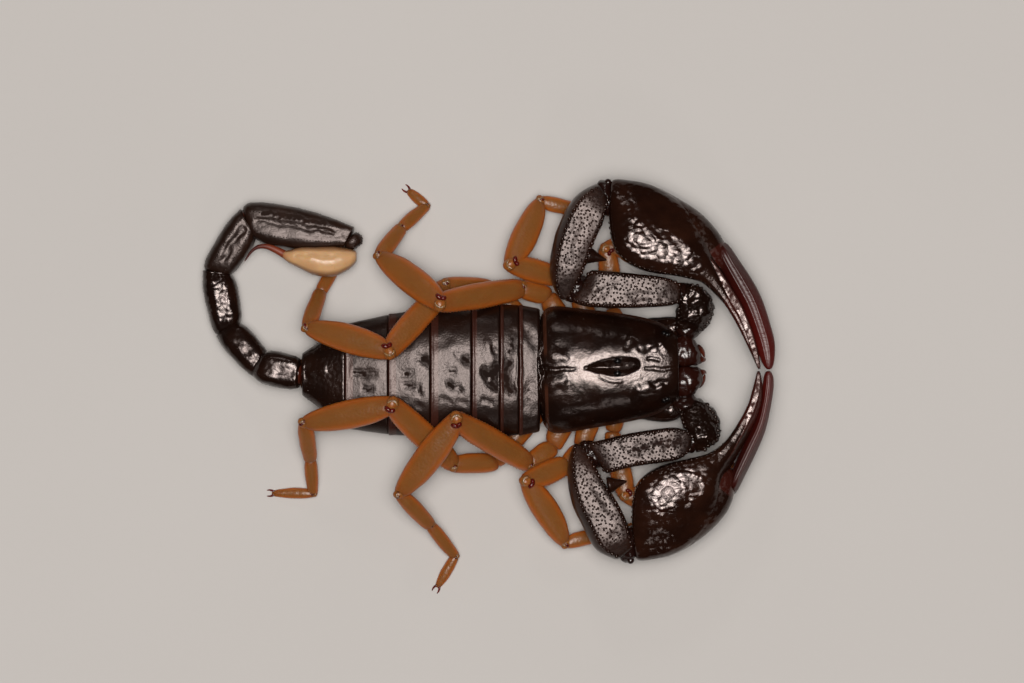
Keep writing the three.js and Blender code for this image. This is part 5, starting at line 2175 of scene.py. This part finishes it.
@dataclass(frozen=True)
class Tail:
    """The five tail rings, the skins between them, and the small ring that carries the sting's bulb."""

    joints: Rows = (
        (-9.6, -0.18, 2.05), (-10.66, -0.18, 2.02), (-12.4, 0.18, 1.35), (-13.87, 1.78, 0.74),
        (-14.38, 4.4, 0.64), (-12.95, 6.62, 1.02), (-8.45, 5.88, 1.3), (-8.14, 5.42, 1.35),
    )
    profiles: tuple[Rows, ...] = (
        ((0, 1.3, 1.15), (0.2, 1.56, 1.4), (0.75, 1.6, 1.96), (1, 1.2, 1.5)),
        ((0, 1.2, 1.25), (0.2, 1.42, 1.42), (0.75, 1.48, 1.74), (1, 1.2, 1.4)),
        ((0, 1.2, 1.25), (0.2, 1.5, 1.56), (0.75, 1.58, 1.62), (1, 1.25, 1.35)),
        ((0, 1.25, 1.35), (0.2, 1.52, 1.6), (0.75, 1.58, 1.45), (1, 1.3, 1.25)),
        ((0, 1.5, 1.3), (0.12, 1.94, 1.5), (0.5, 1.86, 1.42), (0.72, 1.58, 1.28), (0.9, 1.24, 1.1),
         (1, 1.0, 1.0)),
    )
    outlines: tuple[Outline, ...] = (
        tail_outline(0.5, 0.0, 0.2), tail_outline(0.32, 0.0, 0.2), tail_outline(0.38, 0.0, 0.3),
        tail_outline(0.44, 0.03, 0.15), tail_outline(0.5, 0.03, 0.15),
    )
    strokes: tuple[Stroke, ...] = (
        Stroke(0.0, ((-12.3, 6.98, 0.34), (-10.8, 6.74, 0.36), (-9.4, 6.45, 0.3)), 0.75),
        Stroke(-0.05, ((-12.5, 6.66, 0.16), (-10.8, 6.38, 0.2), (-9.2, 6.1, 0.14)), 0.5),
        Stroke(-0.04, ((-14.1, 4.9, 0.2), (-13.6, 5.7, 0.22), (-13.2, 6.3, 0.16)), 0.3),
    )
    anal_ring: Rows = ((0, 0.7, 0.8), (0.25, 0.98, 0.95), (0.7, 0.9, 0.85), (1, 0.5, 0.55))

    def build(self, kit: Kit) -> None:
        """Makes the five rings, each with the skin at its front end.
        """
        chain = Chain(self.joints, 0.8)
        for ring, profile in enumerate(self.profiles):
            _, width, depth = profile[0]
            rows = [(-0.03, width * 0.75, depth * 0.75)]
            rows += [tuple(through(profile, share)) for share in spread(11, 0.03, 0.94)]
            _, width, depth = profile[-1]
            rows += [(0.985, width * 1.08, depth * 1.08), (1.0, width * 0.8, depth * 0.8)]
            name = f"metasoma_{ring + 1}"
            body = Loft(self.outlines[ring], chain.stations(ring + 1, rows)).draw(f"{name}_shell")
            ripple(body, 0.4, 0.05)
            carve(body, self.strokes)
            kit.beads.row(body, 0.13, 0.03)
            kit.beads.strew(body, 0.14, 0.02, lambda vert: 0.3 if vert.normal.z < 0.6 else 0.0)
            pieces = [body, self._skin(chain, ring + 1)]
            if ring == 4:
                end = Loft(rounded(12, 2.4), chain.stations(6, self.anal_ring)).draw("anal ring")
                kit.beads.strew(end, 0.15, 0.035, lambda vert: 0.7)
                pieces.append(end)
            finish = ("tail_first", "tail_first", "tail", "tail_calm", "tail_calm")[ring]
            kit.hand_in(on_floor(join(pieces)), finish, Slot.SHELL, name)

    @staticmethod
    def _skin(chain: Chain, joint: int) -> Piece:
        """The red skin of a joint."""
        rows = ((-0.08, 0.5, 0.5), (-0.05, 0.85, 0.9), (0.0, 1.0, 1.06), (0.05, 0.85, 0.9), (0.08, 0.5, 0.5))
        return Loft(rounded(12, 2.4), chain.stations(joint, rows)).draw("joint skin", 1.0)


@dataclass(frozen=True)
class Bulb:
    """The pale bulb of the sting, which lies beside the last ring."""

    rows: Rows = (
        (-8.17, 5.05, 0.22, 1.75, 1.05),
        (-8.42, 4.95, 0.42, 2.0, 0.9),
        (-9.16, 4.81, 0.69, 2.15, 0.85),
        (-10.04, 4.84, 0.66, 2.12, 0.86),
        (-10.71, 4.98, 0.48, 1.98, 0.98),
        (-11.16, 5.02, 0.3, 1.82, 1.15),
        (-11.45, 5.13, 0.17, 1.7, 1.32),
    )

    def build(self, kit: Kit) -> None:
        """Makes the bulb.
        """
        body = along_line(self.rows).stations(16, Ends(0.05, 0.03, 0.4))
        piece = Loft(rounded(16, 2.1), body).draw("telson_vesicle_bulb")
        ripple(piece, 0.7, 0.06)
        carve(piece, (Stroke(-0.04, ((-9.0, 5.1, 0.14), (-10.0, 5.1, 0.18), (-10.9, 5.12, 0.1))),))
        kit.beads.strew(piece, 0.3, 0.022, lambda vert: 0.25)
        kit.hand_in(piece, "bulb", Slot.TELSON, "telson_vesicle")


@dataclass(frozen=True)
class Sting:
    """The curved sting, a slim horn that darkens to its point."""

    line: Rows = ((-11.3, 5.09, 1.51), (-12.1, 5.47, 1.5), (-12.7, 5.38, 1.44), (-13.14, 4.82, 1.3))
    widths: tuple[float, float] = (0.4, 0.05)
    rings: int = 16

    def build(self, kit: Kit) -> None:
        """Makes the sting.
        """
        joints = tuple(tuple(through(self.line, share)) for share in spread(self.rings))
        root, point = self.widths
        sizes = [(root + (point - root) * share**0.9,) * 2 for share in spread(self.rings)]
        piece = Loft(rounded(12), Chain(joints, 1.0).rings(sizes)).draw("telson_aculeus_sting")
        kit.hand_in(piece, "sting", Slot.STING, "telson_aculeus")


# ---- studio


@dataclass(frozen=True)
class Lamp:
    """A square soft light that looks straight at a point."""

    name: str
    place: Row
    size: float
    power: float
    aim: Row = (0.0, 0.0, 0.0)

    def build(self, kit: Kit) -> None:
        """Hangs the light.
        """
        light = bpy.data.lights.new(self.name, "AREA")
        light.shape = "SQUARE"
        light.size = self.size * MM
        light.energy = self.power
        light.color = (1.0, 0.94, 0.9)
        lamp = bpy.data.objects.new(self.name, light)
        bpy.context.scene.collection.objects.link(lamp)
        lamp.location = kit.place(self.place)
        lamp.rotation_euler = (kit.place(self.aim) - lamp.location).to_track_quat("-Z", "Y").to_euler()


@dataclass(frozen=True)
class Studio:
    """A pale floor, soft light from above, and a camera that looks straight down."""

    centre: Row = (-1.289, 1.267, 0.0)
    view_width: float = 45.51
    distance: float = 450.0
    floor_size: float = 1200.0
    lamps: tuple[Lamp, ...] = (
        Lamp("overhead wide", (-1.3, 1.3, 520.0), 250.0, 1.9),
        Lamp("overhead core", (-1.3, 1.3, 515.0), 100.0, 1.0),
        Lamp("rim left", (-40.0, 330.0, 240.0), 60.0, 0.06),
        Lamp("rim right", (60.0, -330.0, 240.0), 60.0, 0.05),
    )

    def build(self, kit: Kit) -> None:
        """Sets up the studio.
        """
        clear()
        bpy.ops.mesh.primitive_plane_add(size=self.floor_size * MM)
        floor = bpy.context.object
        floor.name = "floor"
        edit(floor)
        bpy.ops.mesh.subdivide(number_cuts=3)
        clear()
        floor.data.materials.append(kit.finishes["floor"])
        for lamp in self.lamps:
            lamp.build(kit)
        self._world()
        self._camera(kit)

    @staticmethod
    def _world() -> None:
        """Fills the room with a faint even light."""
        world = bpy.data.worlds.new("room")
        world.use_nodes = True
        world.node_tree.nodes["Background"].inputs["Color"].default_value = (0.9, 0.95, 1.0, 1.0)
        world.node_tree.nodes["Background"].inputs["Strength"].default_value = 0.02
        bpy.context.scene.world = world

    def _camera(self, kit: Kit) -> None:
        """Hangs the camera straight above the middle of the view.
        """
        lens = bpy.data.cameras.new("camera")
        lens.sensor_width = 36.0
        lens.lens = 36.0 * self.distance / self.view_width
        lens.clip_start = 0.01
        camera = bpy.data.objects.new("camera", lens)
        bpy.context.scene.collection.objects.link(camera)
        camera.location = kit.place(self.centre) + UP * self.distance * MM
        bpy.context.scene.camera = camera
        bpy.context.scene.view_settings.view_transform = "Standard"


# ---- the whole animal


def finishes() -> dict[str, Material]:
    """Makes every finish.

    Returns:
        The materials by name.
    """
    brown, warm_brown = (0.0105, 0.0033, 0.0017), (0.034, 0.0105, 0.005)
    kinds = {
        # The head, the back plates and the hand carry a painted rim light on their outermost edge.
        "head": ShellFinish(
            "head shell", cobbles=0.12, cobble_scale=2.6, melt=0.6, ripples=0.7, ripple_scale=2.0,
            fine=0.25, gloss=0.14, glow=0.7, band=(0.27, 0.33, 0.2), band_colour=(0.045, 0.015, 0.008),
        ),
        "back": ShellFinish(
            "back plates", cobbles=0.0, ripples=0.7, ripple_scale=1.5, relief=0.025, fine=0.4, gloss=0.25,
            shine=0.42, skin=(0.022, 0.007, 0.004), glow=0.15, band=(0.8, 1.2, -0.3),
            band_colour=(0.034, 0.0095, 0.0058),
        ),
        "last_ring": ShellFinish(
            "last ring", cobbles=0.5, cobble_scale=5.0, relief=0.025, gloss=0.16, skin=(0.05, 0.02, 0.01),
        ),
        "arm": ShellFinish("arm shell", cobbles=0.7, cobble_scale=4.0, relief=0.04),
        "plate": ShellFinish(
            "pitted plate", brown, warm_brown, pits=1.3, cobbles=0.0, ripples=0.8, ripple_scale=2.2,
            fine=0.2, gloss=0.27,
        ),
        "hand": ShellFinish(
            "hand shell", brown, warm_brown, cobble_scale=3.2, stretch=(0.85, 1.15, 1.0), relief=0.035,
            fine=0.12, fade=(0.5, 0.66), glow=0.1, band=(0.72, 1.2, -0.3), band_colour=(0.038, 0.007, 0.0045),
        ),
        "tail_first": ShellFinish("first tail rings", cobbles=0.3, cobble_scale=4.4, gloss=0.16),
        "tail": ShellFinish("tail shell", cobbles=0.8, cobble_scale=4.0, relief=0.035, gloss=0.13),
        "tail_calm": ShellFinish(
            "last tail rings", (0.011, 0.0045, 0.0025), (0.036, 0.014, 0.008), cobbles=0.15, ripples=1.0,
            ripple_scale=1.4, fine=0.3, gloss=0.28,
        ),
        "skin": HornFinish("joint skin", (0.014, 0.0045, 0.003), (0.014, 0.004, 0.003), ribs=0.7, gloss=0.1),
        "finger": HornFinish(
            "finger horn", (0.03, 0.004, 0.0025), (0.075, 0.005, 0.003), ribs=1.0, gloss=0.3,
        ),
        "jaw": HornFinish(
            "jaw horn", (0.016, 0.0034, 0.0018), (0.09, 0.015, 0.006), (0.95, 1.7), ribs=0.6, gloss=0.13,
            mottle=0.08,
        ),
        "eye": HornFinish("eye", (0.004, 0.003, 0.003), (0.003, 0.003, 0.004), ribs=0.0, gloss=0.03),
        "leg": LegFinish("leg skin"),
        # The bulb's sides are darkened by painted shade.
        "bulb": HornFinish(
            "bulb horn", (0.66, 0.42, 0.21), (0.34, 0.12, 0.045), (0.8, 1.05), ribs=0.3, gloss=0.22, soft=0.5,
            across_shade=0.9,
        ),
        "sting": HornFinish(
            "sting horn", (0.26, 0.045, 0.012), (0.06, 0.006, 0.003), (0.02, 0.7), ribs=0.2, gloss=0.4,
            soft=0.3,
        ),
        "comb": HornFinish("comb skin", (0.45, 0.28, 0.14), (0.5, 0.32, 0.17), ribs=0.5, gloss=0.4, soft=0.4),
        "floor": FloorFinish("pale floor"),
    }
    return {name: finish.material() for name, finish in kinds.items()}


def main() -> None:
    """Builds the animal and its studio."""
    logging.basicConfig(level=logging.INFO, format="%(message)s")
    kit = Kit()
    Trunk().build(kit)
    HeadShield().build(kit)
    for side in Side:
        Jaw(side).build(kit)
        Comb(side).build(kit)
    Breast().build(kit, [leg.hip() for leg in LEGS])
    claw = Claw().build()
    for leg in LEGS:
        leg.build(kit, claw)
    bpy.data.objects.remove(claw)
    for arm in (LEFT_ARM, RIGHT_ARM):
        arm.build(kit)
    for part in (Tail(), Bulb(), Sting()):
        part.build(kit)
    Studio().build(kit)


if __name__ == "__main__":
    main()
